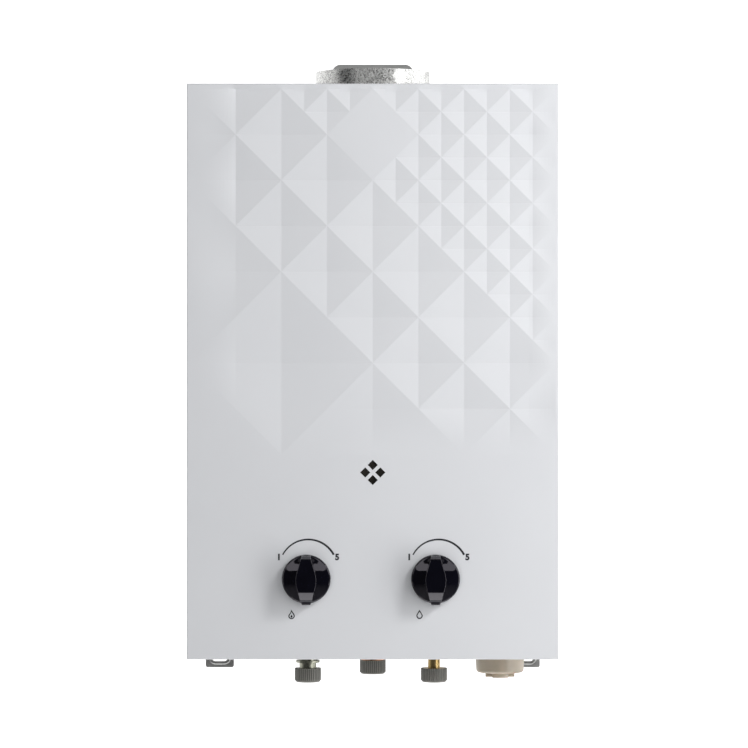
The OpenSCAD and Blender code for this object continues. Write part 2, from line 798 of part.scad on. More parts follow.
module spill_thermostat() {
    stat_d = 16;
    stat_h = 7;
    ear_half = 14;
    tag_x = 4;
    tag_half = [0.4, 2.4];
    tag_l = 5;
    stat_z = chamber_top + hood_skirt + 22;
    face = mid_y - hood_d / 2;
    color("dimgray") {
        block([-ear_half, face - 1, stat_z - stat_d / 2 - 1], [ear_half, face, stat_z + stat_d / 2 + 1]);
        y_rod(face - stat_h, face, stat_d, 0, stat_z);
        for (s = [-1, 1])
            block([s * tag_x - tag_half.x, face - stat_h - tag_l + 1, stat_z - tag_half.y],
                [s * tag_x + tag_half.x, face - stat_h + 1, stat_z + tag_half.y]);
    }
}

module combustion_chamber() {
    color("peru") difference() {
        translate([0, mid_y, chamber_z]) linear_extrude(chamber_h) difference() {
            rounded_plan(chamber_w, chamber_d, chamber_r);
            rounded_plan(chamber_w - 2 * chamber_t, chamber_d - 2 * chamber_t, chamber_r - chamber_t);
        }
        for (k = [0:3])
            x_rod(-tube_x - over, tube_x + over, tube_d + 2 * tube_gap, tube_y(k), fin_z);
    }
}

// Stepped bracket from the back plate to a face that stands clear of it
module step_bracket(x, w, z, h, face) {
    t = 1.2;
    block([x - w / 2, -sheet_t - t, z], [x + w / 2, -sheet_t, z + h]);
    block([x - w / 2, face, z], [x + w / 2, face + t, z + h]);
    block([x - w / 2, face, z], [x + w / 2, -sheet_t, z + t]);
}

module exchanger_brackets() {
    face = mid_y + chamber_d / 2;
    color("silver") {
        step_bracket(0, carrier_w, chamber_z + carrier_inset, carrier_h, face);
        step_bracket(0, carrier_w, chamber_top - carrier_drop, carrier_h, face);
    }
}

module fin_pack() {
    fin_d = chamber_d - 2 * chamber_t - 1;
    span = chamber_w - 2 * chamber_r - 8;
    color("peru") for (i = [0:fin_count - 1])
        translate([-span / 2 + i * span / (fin_count - 1) - fin_t / 2, mid_y, fin_z]) rotate([90, 0, 90])
            linear_extrude(fin_t) difference() {
                square([fin_d, fin_h], center = true);
                for (k = [0:3]) translate([tube_y(k) - mid_y, 0]) circle(d = tube_d + 2 * tube_gap);
            }
}

module water_tubes() {
    color("chocolate") for (k = [0:3]) difference() {
        x_rod(-tube_x, tube_x, tube_d, tube_y(k), fin_z);
        x_rod(-tube_x - over, tube_x + over, tube_d - 2 * tube_t, tube_y(k), fin_z);
    }
}

module return_bends() {
    color("chocolate") for (k = [0:2])
        translate([k == 1 ? -tube_x : tube_x, (tube_y(k) + tube_y(k + 1)) / 2, fin_z])
            rotate([0, 0, k == 1 ? 90 : -90]) rotate_extrude(angle = 180) translate([tube_pitch / 2, 0])
                difference() {
                    circle(d = tube_d);
                    circle(d = tube_d - 2 * tube_t);
                }
}

// Routes of the pipes, as corner points
cold_y = -hot_y - 1;
cold_lane_x = half_w - 15;
hot_lane_x = 11 - half_w;
riser_x = -tube_x - 18;
coil_start_x = coil_x + 16;
coil_points = [
    [coil_start_x, cold_y, coil_z],
    [coil_x, cold_y, coil_z],
    [coil_x, coil_front, coil_z + 0.15 * coil_pitch],
    [-coil_x, coil_front, coil_z + 0.4 * coil_pitch],
    [-coil_x, coil_back, coil_z + 0.6 * coil_pitch],
    [coil_x, coil_back, coil_z + 0.9 * coil_pitch],
    [coil_x, coil_front, coil_z + 1.05 * coil_pitch],
    [riser_x, coil_front, coil_z + 1.3 * coil_pitch],
    [riser_x, tube_y(0), fin_z],
    [-tube_x, tube_y(0), fin_z]
];
cold_points = [
    [water_x, valve_y, valve_top + boss_h],
    [water_x, valve_y, lane_z],
    [water_x, cold_y, lane_z],
    [cold_lane_x, cold_y, lane_z],
    [cold_lane_x, cold_y, coil_z],
    [coil_start_x, cold_y, coil_z]
];
hot_points = [
    [-tube_x, tube_y(3), fin_z],
    [hot_lane_x, tube_y(3), fin_z],
    [hot_lane_x, tube_y(3), lane_z],
    [hot_lane_x, -hot_y, lane_z],
    [hot_x, -hot_y, lane_z],
    [hot_x, -hot_y, hot_top]
];
riser_y = manifold_back - manifold_s / 2;
riser_points = [
    [outlet_x, valve_y, valve_top + boss_h],
    [outlet_x, valve_y, lane_z],
    [outlet_x, riser_y, lane_z],
    [outlet_x, riser_y, manifold_z - manifold_s / 2]
];
pipe_bend = 10.5;
pipe_sides = 12;

module shell_coil() {
    color("chocolate") swept_tube(rounded_path(coil_points, coil_r * 0.75), pipe_d, pipe_t, pipe_sides);
}

module cold_pipe() {
    color("chocolate") swept_tube(rounded_path(cold_points, pipe_bend), pipe_d, pipe_t, pipe_sides);
}

module hot_pipe() {
    color("chocolate") swept_tube(rounded_path(hot_points, pipe_bend), pipe_d, pipe_t, pipe_sides);
}

module gas_riser() {
    color("silver") swept_tube(rounded_path(riser_points, pipe_bend), pipe_d - 2, pipe_t, pipe_sides);
}

function bar_x(i) = (i - (bar_count - 1) / 2) * bar_pitch;

module bar_outline(round_z, inset) {
    w = bar_w - 2 * inset;
    translate([-w / 2, burner_z + inset]) square([w, round_z - burner_z - inset]);
    translate([0, round_z]) circle(d = w);
}

module burner_bars() {
    round_z = burner_z + bar_h - bar_w / 2;
    throat_d = 8;
    color("lightgray") for (i = [0:bar_count - 1]) difference() {
        translate([bar_x(i), mid_y + bar_l / 2, 0]) wall_sheet(bar_l) bar_outline(round_z, 0);
        translate([bar_x(i), mid_y + bar_l / 2 - bar_t, 0]) wall_sheet(bar_l - 2 * bar_t)
            bar_outline(round_z, bar_t);
        y_rod(mid_y - bar_l / 2 - over, mid_y - bar_l / 4, throat_d, bar_x(i), manifold_z);
        for (k = [0:flame_slots - 1])
            translate([bar_x(i), mid_y + (k - (flame_slots - 1) / 2) * bar_l / (flame_slots + 1),
                round_z + bar_w / 2])
                cube([2 * bar_w, flame_slot_w, bar_w], center = true);
    }
}

electrode_tab_up = 6;
electrode_tab_t = 1.5;
frame_gap = 0.2;

module burner_frame() {
    side_x = chamber_w / 2;
    tab_half = 5;
    tab_top = electrode_z + electrode_tab_up + electrode_tab_t;
    rail_h = 22;
    ledge = 8;
    low = burner_z - rail_t;
    rear = mid_y + bar_l / 2 + frame_gap;
    color("silver") difference() {
        union() {
            for (s = [-1, 1]) translate([s * (side_x - rail_t / 2), mid_y, (low + chamber_z) / 2])
                cube([rail_t, bar_l + 2 * (rail_t + frame_gap), chamber_z - low], center = true);
            block([-side_x, rail_front, low], [side_x, rail_front + rail_t, low + rail_h]);
            block([-side_x, rear, low], [side_x, rear + rail_t, low + rail_h]);
            block([-side_x, rail_front, low], [side_x, rail_front + ledge, burner_z]);
            block([-side_x, rear + rail_t - ledge, low], [side_x, rear + rail_t, burner_z]);
            for (s = [-1, 1])
                block([s * electrode_x - tab_half, electrode_y - tab_half, electrode_z + electrode_tab_up],
                    [s * electrode_x + tab_half, rail_front + rail_t, tab_top]);
            block([-electrode_x - tab_half, rail_front, low + rail_h - 1],
                [electrode_x + tab_half, rail_front + rail_t, tab_top]);
        }
        for (i = [0:bar_count - 1])
            y_rod(rail_front - over, rail_front + rail_t + over, nozzle_d + 4, bar_x(i), manifold_z);
        for (s = [-1, 1])
            z_rod(electrode_z, tab_top + over, ceramic_d + 2 * frame_gap, s * electrode_x, electrode_y);
    }
}

module gas_manifold() {
    wall = 2;
    l = (bar_count - 1) * bar_pitch + 22;
    front = manifold_back - manifold_s;
    ear = 12;
    ear_d = 6;
    ear_x = l / 2 + 2;
    color("lightgray") difference() {
        union() {
            block([-l / 2, front, manifold_z - manifold_s / 2],
                [l / 2, manifold_back, manifold_z + manifold_s / 2]);
            for (s = [-1, 1])
                block([s * ear_x - ear / 2, manifold_back - ear_d, manifold_z - ear / 4],
                    [s * ear_x + ear / 2, rail_front, manifold_z + ear / 4]);
        }
        block([-l / 2 + wall, front + wall, manifold_z - manifold_s / 2 + wall],
            [l / 2 - wall, manifold_back - wall, manifold_z + manifold_s / 2 - wall]);
        for (i = [0:bar_count - 1])
            y_rod(manifold_back - wall - 1, manifold_back + over, nozzle_d + 2 * run_gap,
                bar_x(i), manifold_z);
        z_rod(manifold_z - manifold_s, manifold_z - manifold_s / 2 + wall + 1, pipe_d - 2 - 2 * pipe_t,
            outlet_x, riser_y);
    }
}

module injectors() {
    hex_l = 3.5;
    hex_d = nozzle_d + 3;
    jet_d = 1.5;
    sink = 2;
    color("goldenrod") for (i = [0:bar_count - 1]) difference() {
        union() {
            y_rod(manifold_back - sink, rail_front + rail_t + 1, nozzle_d, bar_x(i), manifold_z);
            translate([bar_x(i), manifold_back, manifold_z]) rotate([-90, 0, 0])
                cylinder(d = hex_d, h = hex_l, $fn = 6);
        }
        y_rod(manifold_back - sink - over, rail_front + rail_t + over, jet_d, bar_x(i), manifold_z);
    }
}

// Ceramic sleeve with a metal rod, held in the frame's tab by its collar
module electrode(x, reach) {
    collar_z = electrode_z + electrode_tab_up + electrode_tab_t;
    collar_h = 4;
    nose_h = 14;
    wire_z = collar_z + 20;
    color("white") {
        z_rod(electrode_z, collar_z + nose_h, ceramic_d, x, electrode_y);
        z_rod(collar_z, collar_z + collar_h, ceramic_d + 4, x, electrode_y);
    }
    color("gray") {
        z_rod(electrode_z, wire_z, electrode_d, x, electrode_y);
        block([x - electrode_d / 2, electrode_y - electrode_d / 2, wire_z - 1],
            [x + electrode_d / 2, electrode_y + reach, wire_z + 1]);
    }
}

module spark_electrode() {
    reach = 16;
    electrode(-electrode_x, reach);
}

module flame_sensor() {
    reach = 24;
    electrode(electrode_x, reach);
}

inlet_boss_d = 24;
outlet_boss_d = 18;
end_screw_in = 7;
cover_screw_in = 6;
room_rim = 7;

// Bore of a regulating plug and its bush, from the valve's front
module plug_bore(x) {
    y_rod(valve_front - over, valve_front + plug_deep, plug_d + 2 * run_gap, x, valve_z);
}

module gas_valve_body() {
    inlet_d = 11;
    color("lightgray") difference() {
        union() {
            block([gas_left, valve_front, valve_bottom], [gas_right, valve_rear, valve_top]);
            z_rod(valve_bottom - inlet_boss_h, valve_bottom + 1, inlet_boss_d, flame_x, valve_y);
            z_rod(valve_top - 1, valve_top + boss_h, outlet_boss_d, outlet_x, valve_y);
        }
        plug_bore(flame_x);
        z_rod(valve_bottom - inlet_boss_h - over, rod_z, inlet_d, flame_x, valve_y);
        x_rod(gas_left - over, seat_x, gas_chamber_d, valve_y, rod_z);
        x_rod(gas_left, gallery_end, gallery_d, valve_y, rod_z);
        x_rod(gas_left, gas_right + over, rod_d + 2 * run_gap, valve_y, rod_z);
        z_rod(rod_z, valve_top + boss_h + over, pipe_d - 2 - 2 * pipe_t, outlet_x, valve_y);
        for (sy = [-1, 1], sz = [-1, 1])
            x_rod(gas_left - over, gas_left + end_screw_in + 1, valve_screw_d + 2 * run_gap,
                valve_y + sy * end_screw_pitch / 2, rod_z + sz * end_screw_pitch / 2);
    }
}

module gas_end_cover() {
    w = end_screw_pitch + 6;
    color("gray") difference() {
        translate([gas_left - end_cover_t / 2, valve_y, rod_z]) cube([end_cover_t, w, w], center = true);
        for (sy = [-1, 1], sz = [-1, 1])
            x_rod(gas_left - end_cover_t - over, gas_left + over, valve_screw_d + 2 * run_gap,
                valve_y + sy * end_screw_pitch / 2, rod_z + sz * end_screw_pitch / 2);
    }
}

module gas_valve_disc() {
    pilot_d = 6;
    pilot_l = 4;
    edge_gap = 0.6;
    color("dimgray") {
        x_rod(disc_x, disc_x + disc_t, gas_chamber_d - 2 * edge_gap, valve_y, rod_z);
        x_rod(disc_x - pilot_l, disc_x, pilot_d, valve_y, rod_z);
    }
}

spring_turns = 6;
spring_wire = 1.2;
valve_spring_d = 10;

// Helix along x between two planes, as one round wire
module coil_spring(x0, x1, d, wire, turns) {
    steps = 8 * turns;
    points = [for (k = [0:steps])
        let (a = 360 * k / 8)
        [x0 + wire / 2 + (x1 - x0 - wire) * k / steps, d / 2 * cos(a), d / 2 * sin(a)]];
    swept_rod(points, wire, 6);
}

module valve_spring() {
    color("silver") translate([0, valve_y, rod_z])
        coil_spring(gas_left + move_gap, disc_x - move_gap, valve_spring_d, spring_wire, spring_turns);
}

module push_rod() {
    flag_t = 3;
    flag_d = 14;
    flag_x = lever_x + lever_t / 2 + move_gap;
    plate_rim = 10;
    color("silver") {
        x_rod(disc_x + disc_t, plate_x, rod_d, valve_y, rod_z);
        x_rod(plate_x, plate_x + plate_t, diaphragm_d - 2 * plate_rim, valve_y, rod_z);
        x_rod(flag_x, flag_x + flag_t, flag_d, valve_y, rod_z);
    }
}

// Holes for the screws that clamp the diaphragm
module diaphragm_screw_holes(x0, x1) {
    for (k = [0:diaphragm_screws - 1])
        let (a = 360 * (k + 0.5) / diaphragm_screws)
        x_rod(x0, x1, valve_screw_d + 2 * run_gap,
            valve_y + valve_screw_r * cos(a), rod_z + valve_screw_r * sin(a));
}

module water_valve_body() {
    room_d = diaphragm_d - 2 * room_rim;
    room_l = 6;
    port_d = 6;
    color("goldenrod") difference() {
        union() {
            block([water_left, valve_front, valve_bottom],
                [water_x + water_body_w / 2, valve_rear, valve_top]);
            x_rod(flange_x, water_left + 1, diaphragm_d, valve_y, rod_z);
            z_rod(valve_bottom - inlet_boss_h, valve_bottom + 1, inlet_boss_d, water_x, valve_y);
            z_rod(valve_top - 1, valve_top + boss_h, outlet_boss_d, water_x, valve_y);
        }
        plug_bore(water_x);
        z_rod(valve_bottom - inlet_boss_h - over, valve_top + boss_h + over, pipe_d - 2 * pipe_t,
            water_x, valve_y);
        x_rod(flange_x - over, flange_x + room_l, room_d, valve_y, rod_z);
        x_rod(flange_x, water_x, port_d, valve_y, rod_z);
        diaphragm_screw_holes(flange_x - over, flange_x + cover_screw_in + 1);
    }
}

module diaphragm() {
    color("dimgray") difference() {
        x_rod(diaphragm_x, flange_x, diaphragm_d, valve_y, rod_z);
        diaphragm_screw_holes(diaphragm_x - over, flange_x + over);
    }
}

module diaphragm_cover() {
    room_d = diaphragm_d - 2 * room_rim;
    gland_wall = 5;
    roof_t = 4;
    color("goldenrod") difference() {
        union() {
            x_rod(cover_x, diaphragm_x, diaphragm_d, valve_y, rod_z);
            x_rod(cover_x - gland_l, cover_x + 1, rod_d + 2 * gland_wall, valve_y, rod_z);
        }
        x_rod(cover_x + roof_t, diaphragm_x + over, room_d, valve_y, rod_z);
        x_rod(cover_x - gland_l - over, diaphragm_x, rod_d + 2 * run_gap, valve_y, rod_z);
        diaphragm_screw_holes(cover_x - over, diaphragm_x + over);
    }
}

module valve_screws() {
    head_h = 2.5;
    head_d = 1.9 * valve_screw_d;
    color("gray") {
        for (k = [0:diaphragm_screws - 1])
            let (a = 360 * (k + 0.5) / diaphragm_screws,
                y = valve_y + valve_screw_r * cos(a), z = rod_z + valve_screw_r * sin(a)) {
                x_rod(cover_x - head_h, cover_x, head_d, y, z);
                x_rod(cover_x - head_h, flange_x + cover_screw_in, valve_screw_d, y, z);
            }
        for (sy = [-1, 1], sz = [-1, 1])
            let (x = gas_left - end_cover_t,
                y = valve_y + sy * end_screw_pitch / 2, z = rod_z + sz * end_screw_pitch / 2) {
                x_rod(x - head_h, x, head_d, y, z);
                x_rod(x - head_h, gas_left + end_screw_in, valve_screw_d, y, z);
            }
    }
}

plug_socket = 6;

// Plug with a cross port, turned by its spindle
module plug(x) {
    difference() {
        y_rod(plug_front, plug_rear, plug_d, x, valve_z);
        z_rod(valve_z - plug_d, valve_z + plug_d, plug_d / 2, x, valve_y);
        y_rod(plug_front - over, plug_front + plug_socket, spindle_d + 2 * run_gap, x, valve_z);
    }
}

module flame_plug() {
    color("goldenrod") plug(flame_x);
}

module water_plug() {
    color("goldenrod") plug(water_x);
}

knob_back = front_y - knob_gap;
spindle_tip = knob_back - skirt_h - 4;
flat_depth = 1.5;

// Spindle with a flat on its knob end
module spindle(x) {
    difference() {
        y_rod(spindle_tip, plug_front + plug_socket - 0.5, spindle_d, x, valve_z);
        block([x - spindle_d, spindle_tip - over, valve_z + spindle_d / 2 - flat_depth],
            [x + spindle_d, knob_back + 4, valve_z + spindle_d]);
    }
}

module flame_spindle() {
    color("gold") spindle(flame_x);
}

module water_spindle() {
    color("gold") spindle(water_x);
}

module spindle_bushes() {
    color("goldenrod") for (x = [flame_x, water_x]) difference() {
        y_rod(valve_front, valve_front + bush_l, plug_d, x, valve_z);
        y_rod(valve_front - over, valve_front + bush_l + over, spindle_d + 2 * run_gap, x, valve_z);
    }
}

module valve_brackets() {
    color("silver") for (x = [flame_x, water_x])
        step_bracket(x, valve_bracket_w, valve_z - valve_bracket_h / 2, valve_bracket_h, valve_rear);
}

module seal_ring(x, top) {
    difference() {
        z_rod(top - seal_t, top, seal_d, x, valve_y);
        z_rod(top - seal_t - over, top + over, seal_bore, x, valve_y);
    }
}

module pipe_seals() {
    color("firebrick") for (x = [flame_x, water_x]) seal_ring(x, valve_bottom - inlet_boss_h);
}

module microswitch() {
    low = rod_z + switch_lift;
    ear_t = 1.5;
    ear_h = 2 * pivot_d;
    ear_end = lever_x + pivot_d;
    color("black") difference() {
        union() {
            block([gas_right, valve_y - switch_w / 2, low],
                [gas_right + switch_l, valve_y + switch_w / 2, low + switch_h]);
            for (s = [-1, 1])
                translate([(gas_right + ear_end) / 2,
                    valve_y + s * (lever_w / 2 + move_gap + ear_t / 2), pivot_z])
                    cube([ear_end - gas_right, ear_t, ear_h], center = true);
        }
        y_rod(valve_y - switch_w, valve_y + switch_w, pivot_d + 2 * run_gap, lever_x, pivot_z);
    }
}

module switch_lever() {
    pin_l = lever_w + 2 * move_gap + 3;
    color("silver") {
        block([lever_x - lever_t / 2, valve_y - lever_w / 2, rod_z + 4],
            [lever_x + lever_t / 2, valve_y + lever_w / 2, pivot_z]);
        y_rod(valve_y - pin_l / 2, valve_y + pin_l / 2, pivot_d, lever_x, pivot_z);
    }
}

// Round fitting along z: a list of [upper height, diameter] steps from the top down, and its bore
module stepped_fitting(x, y, steps, low, bore) {
    difference() {
        for (i = [0:len(steps) - 1])
            z_rod(i == len(steps) - 1 ? low : steps[i + 1][0], steps[i][0], steps[i][1], x, y);
        z_rod(low - over, steps[0][0] + over, bore, x, y);
    }
}

thread_clear = 0.5;
thread_l = cap_h - cap_end - thread_clear;

module gas_inlet_fitting() {
    low = bot_z - gas_drop + cap_end + thread_clear;
    color("darkgray") stepped_fitting(flame_x, valve_y, [
        [fitting_top, nut_d], [fitting_top - nut_h, 2 * fitting_r], [bot_z - gas_flange_drop, gas_flange_d],
        [bot_z - gas_flange_drop - ring_h, gas_neck_d], [low + thread_l, thread_d]
    ], low, gas_bore);
}

module cold_inlet_fitting() {
    low = bot_z - cold_drop + cap_end + thread_clear;
    color("goldenrod") stepped_fitting(water_x, valve_y, [
        [fitting_top, nut_d], [fitting_top - nut_h, 2 * fitting_r], [bot_z - cold_neck_drop, cold_neck_d],
        [low + thread_l, thread_d]
    ], low, cold_bore);
}

module hot_outlet_fitting() {
    low = bot_z - hot_drop + cap_end + thread_clear;
    color("sienna") difference() {
        stepped_fitting(hot_x, -hot_y, [
            [hot_top, hot_socket_d], [bot_z + 2 * sheet_t + hot_nut_h, hot_nut_d],
            [bot_z + 2 * sheet_t, 2 * fitting_r], [low + thread_l + ring_h + cap_gap, hot_ring_d],
            [low + thread_l + cap_gap, thread_d]
        ], low, hot_bore);
    }
}

// Ribbed transit cap, open upwards, with its foot rounded
module transit_cap(x, y, drop) {
    edge = 1.6;
    foot_step = 0.2;
    root_r = cap_d / 2 - cap_rib_h;
    foot_r = root_r - foot_step;
    step = 360 / cap_ribs;
    outline = [for (k = [0:cap_ribs - 1], q = [[0, 0], [0.14, 1], [0.5, 1], [0.64, 0]])
        let (a = (k + q[0]) * step, r = root_r + q[1] * cap_rib_h)
        [r * cos(a), r * sin(a)]];
    translate([x, y, bot_z - drop]) difference() {
        union() {
            translate([0, 0, edge]) linear_extrude(cap_h - edge) polygon(outline);
            rotate_extrude() {
                square([foot_r - edge, 2 * edge]);
                translate([0, edge]) square([foot_r, edge]);
                translate([foot_r - edge, edge]) circle(edge);
            }
        }
        translate([0, 0, cap_end]) cylinder(d = thread_d + 2 * cap_gap, h = cap_h);
    }
}

module gas_cap() {
    color("gray") transit_cap(flame_x, valve_y, gas_drop);
}

module hot_cap() {
    color("gray") transit_cap(hot_x, -hot_y, hot_drop);
}

module cold_cap() {
    color("gray") transit_cap(water_x, valve_y, cold_drop);
}

peg_h = 6;
peg_d = 8;
peg_out = 8;
peg_y = -15;

module ignition_module() {
    lid_t = 3;
    step = 1.5;
    color("darkslategray") {
        block([module_x, -sheet_t - module_d + lid_t, module_z],
            [module_x + module_w, -sheet_t, module_z + module_h]);
        block([module_x + step, -sheet_t - module_d, module_z + step],
            [module_x + module_w - step, -sheet_t - module_d + lid_t, module_z + module_h - step]);
        for (s = [-1, 1])
            z_rod(module_z + module_h, module_top, peg_d, module_mid + s * peg_out, peg_y);
    }
}

// Routes of the leads, as corner points chosen by hand
module_top = module_z + module_h + peg_h;
module_right = module_x + module_w;
module_mid = module_x + module_w / 2;
lead_side_x = -coil_x - 3;
lead_high = lane_z + 12;
spark_points = [
    [module_mid - peg_out, peg_y, module_top], [module_mid - peg_out, peg_y, lead_high],
    [lead_side_x, peg_y, lead_high], [lead_side_x, electrode_y, lead_high],
    [lead_side_x, electrode_y, electrode_z + 3], [-electrode_x - ceramic_d / 2, electrode_y, electrode_z + 3]
];
sensor_points = [
    [module_mid + peg_out, peg_y, module_top], [module_mid + peg_out, peg_y, lead_high + 5],
    [lead_side_x + 6, peg_y, lead_high + 5], [lead_side_x + 6, electrode_y - 7, lead_high + 5],
    [lead_side_x + 6, electrode_y - 7, electrode_z + 3], [electrode_x, electrode_y - 7, electrode_z + 3],
    [electrode_x, electrode_y - ceramic_d / 2, electrode_z + 3]
];
battery_points = [
    [battery_x, battery_y + battery_out, valve_top - 4], [battery_x, -10, valve_top - 4],
    [module_right, -10, valve_top - 4]
];
switch_points = [
    [gas_right + switch_l / 2, valve_y + 5, rod_z + 13], [gas_right + switch_l / 2, -20, rod_z + 13],
    [module_right, -20, rod_z + 13]
];
lead_bend = 3;

module igniter_leads() {
    color("firebrick") for (points = [spark_points, sensor_points, battery_points, switch_points])
        swept_rod(rounded_path(points, lead_bend, 3), lead_d, 8);
}

module battery_lugs(r0, r1, z, h, turn) {
    for (a = [0, 180]) translate([battery_x, battery_y, z]) rotate([0, 0, a + turn])
        rotate_extrude(angle = 30) translate([r0, 0]) square([r1 - r0, h]);
}

module battery_tube() {
    foot_z = bot_z + 2 * sheet_t;
    foot_out = 4.5;
    mouth_z = bot_z - 8;
    color("beige") {
        difference() {
            union() {
                z_rod(mouth_z, battery_roof + battery_wall, 2 * battery_out, battery_x, battery_y);
                z_rod(foot_z, foot_z + 2, 2 * (battery_out + foot_out), battery_x, battery_y);
                battery_lugs(battery_out - 1, lug_r, lug_low, lug_h, 0);
            }
            z_rod(mouth_z - over, battery_roof, 2 * battery_in, battery_x, battery_y);
        }
    }
}

module battery_cells() {
    nub_h = 2;
    nub_d = 9.5;
    color("darkolivegreen") for (k = [0, 1]) {
        z_rod(cell_z + k * cell_l, cell_z + (k + 1) * cell_l - nub_h, cell_d, battery_x, battery_y);
        z_rod(cell_z + (k + 1) * cell_l - nub_h - 1, cell_z + (k + 1) * cell_l, nub_d, battery_x, battery_y);
    }
}

module battery_contact() {
    disc_d = 20;
    stud_d = 6;
    color("gold") {
        z_rod(cell_top, cell_top + 1, disc_d, battery_x, battery_y);
        z_rod(cell_top, battery_roof, stud_d, battery_x, battery_y);
    }
}

module battery_spring() {
    wire = 1.2;
    coil_d = 16;
    color("silver") translate([battery_x, battery_y, battery_floor]) rotate([0, -90, 0])
        coil_spring(0, spring_h, coil_d, wire, 3);
}

module battery_cap() {
    cap_r = battery_cap_d / 2;
    edge = 3;
    foot_r = cap_r - 0.8;
    low = bot_z - battery_drop;
    color("beige") {
        difference() {
            union() {
                translate([battery_x, battery_y, low]) rotate_extrude() {
                    square([foot_r - edge, battery_cap_top - low]);
                    polygon([[0, edge], [foot_r, edge], [cap_r, battery_cap_top - low],
                        [0, battery_cap_top - low]]);
                    translate([foot_r - edge, edge]) circle(edge);
                }
                intersection() {
                    z_rod(low - grip_h, low + 1, grip_d, battery_x, battery_y);
                    translate([battery_x, battery_y, low]) {
                        cube([grip_bar_w, grip_d, 4 * grip_h], center = true);
                        cube([grip_d, grip_web_t, 4 * grip_h], center = true);
                    }
                }
            }
            z_rod(battery_floor, battery_cap_top + over, 2 * (lug_r + move_gap), battery_x, battery_y);
        }
        battery_lugs(battery_out + move_gap, lug_r + move_gap + 0.5, lug_low + lug_h + move_gap, 1.6, 0);
    }
}

// Knob seen along its axis: a round skirt and a barrel-shaped grip that tapers to a pointer nose
module grip_outline() {
    r = knob_d / 2;
    polygon([
        [-4.6, r - 1], [4.6, r - 1], [8.4, r * 0.45], [9.7, 0], [8.9, -r * 0.3],
        [7, -r * 0.55], [5.4, -r * 0.85], [3.8, -r - 0.6],
        [-3.8, -r - 0.6], [-5.4, -r * 0.85], [-7, -r * 0.55], [-8.9, -r * 0.3], [-9.7, 0], [-8.4, r * 0.45]
    ]);
}

module grip_side() {
    r = knob_d / 2;
    polygon([
        [-r - 1, 2], [-r - 1, skirt_h - 2], [-r * 0.86, skirt_h + (knob_h - skirt_h) * 0.45],
        [-r * 0.5, knob_h],
        [r * 0.8, knob_h], [r, knob_h - 5], [r, 2]
    ]);
}

module knob(x) {
    r = knob_d / 2;
    edge = 2.5;
    wall = 2;
    hub_d = spindle_d + 6;
    bore_h = 4 + skirt_h + 0.5;
    translate([x, knob_back, valve_z]) rotate([90, 0, 0]) difference() {
        union() {
            rotate_extrude() {
                square([r - edge, skirt_h]);
                square([r, skirt_h - edge]);
                translate([r - edge, skirt_h - edge]) circle(edge);
            }
            intersection() {
                linear_extrude(knob_h) grip_outline();
                translate([-r, 0, 0]) rotate([90, 0, 90]) linear_extrude(knob_d) grip_side();
            }
        }
        translate([0, 0, -over]) difference() {
            cylinder(r = r - wall, h = over + skirt_h - 2.5);
            cylinder(d = hub_d, h = 4 * skirt_h);
        }
        difference() {
            translate([0, 0, -over]) cylinder(d = spindle_d + 2 * run_gap, h = bore_h + over);
            translate([-r, spindle_d / 2 - flat_depth + run_gap, -2 * over]) cube([knob_d, r, 2 * knob_h]);
        }
    }
}

module flame_knob() {
    color("black") knob(flame_x);
}

module water_knob() {
    color("black") knob(water_x);
}

back_plate();
front_cover();
top_panel();
base_panel();
cover_screws();
window_pane();
window_clip();
flue_hood();
flue_collar();
collar_rivets();
spill_thermostat();
combustion_chamber();
exchanger_brackets();
fin_pack();
water_tubes();
return_bends();
shell_coil();
cold_pipe();
hot_pipe();
burner_bars();
burner_frame();
gas_manifold();
injectors();
gas_riser();
spark_electrode();
flame_sensor();
gas_valve_body();
gas_end_cover();
flame_plug();
flame_spindle();
gas_valve_disc();
valve_spring();
push_rod();
water_valve_body();
diaphragm();
diaphragm_cover();
water_plug();
water_spindle();
spindle_bushes();
valve_screws();
valve_brackets();
pipe_seals();
microswitch();
switch_lever();
gas_inlet_fitting();
hot_outlet_fitting();
cold_inlet_fitting();
gas_cap();
hot_cap();
cold_cap();
ignition_module();
igniter_leads();
battery_tube();
battery_cells();
battery_contact();
battery_spring();
battery_cap();
flame_knob();
water_knob();
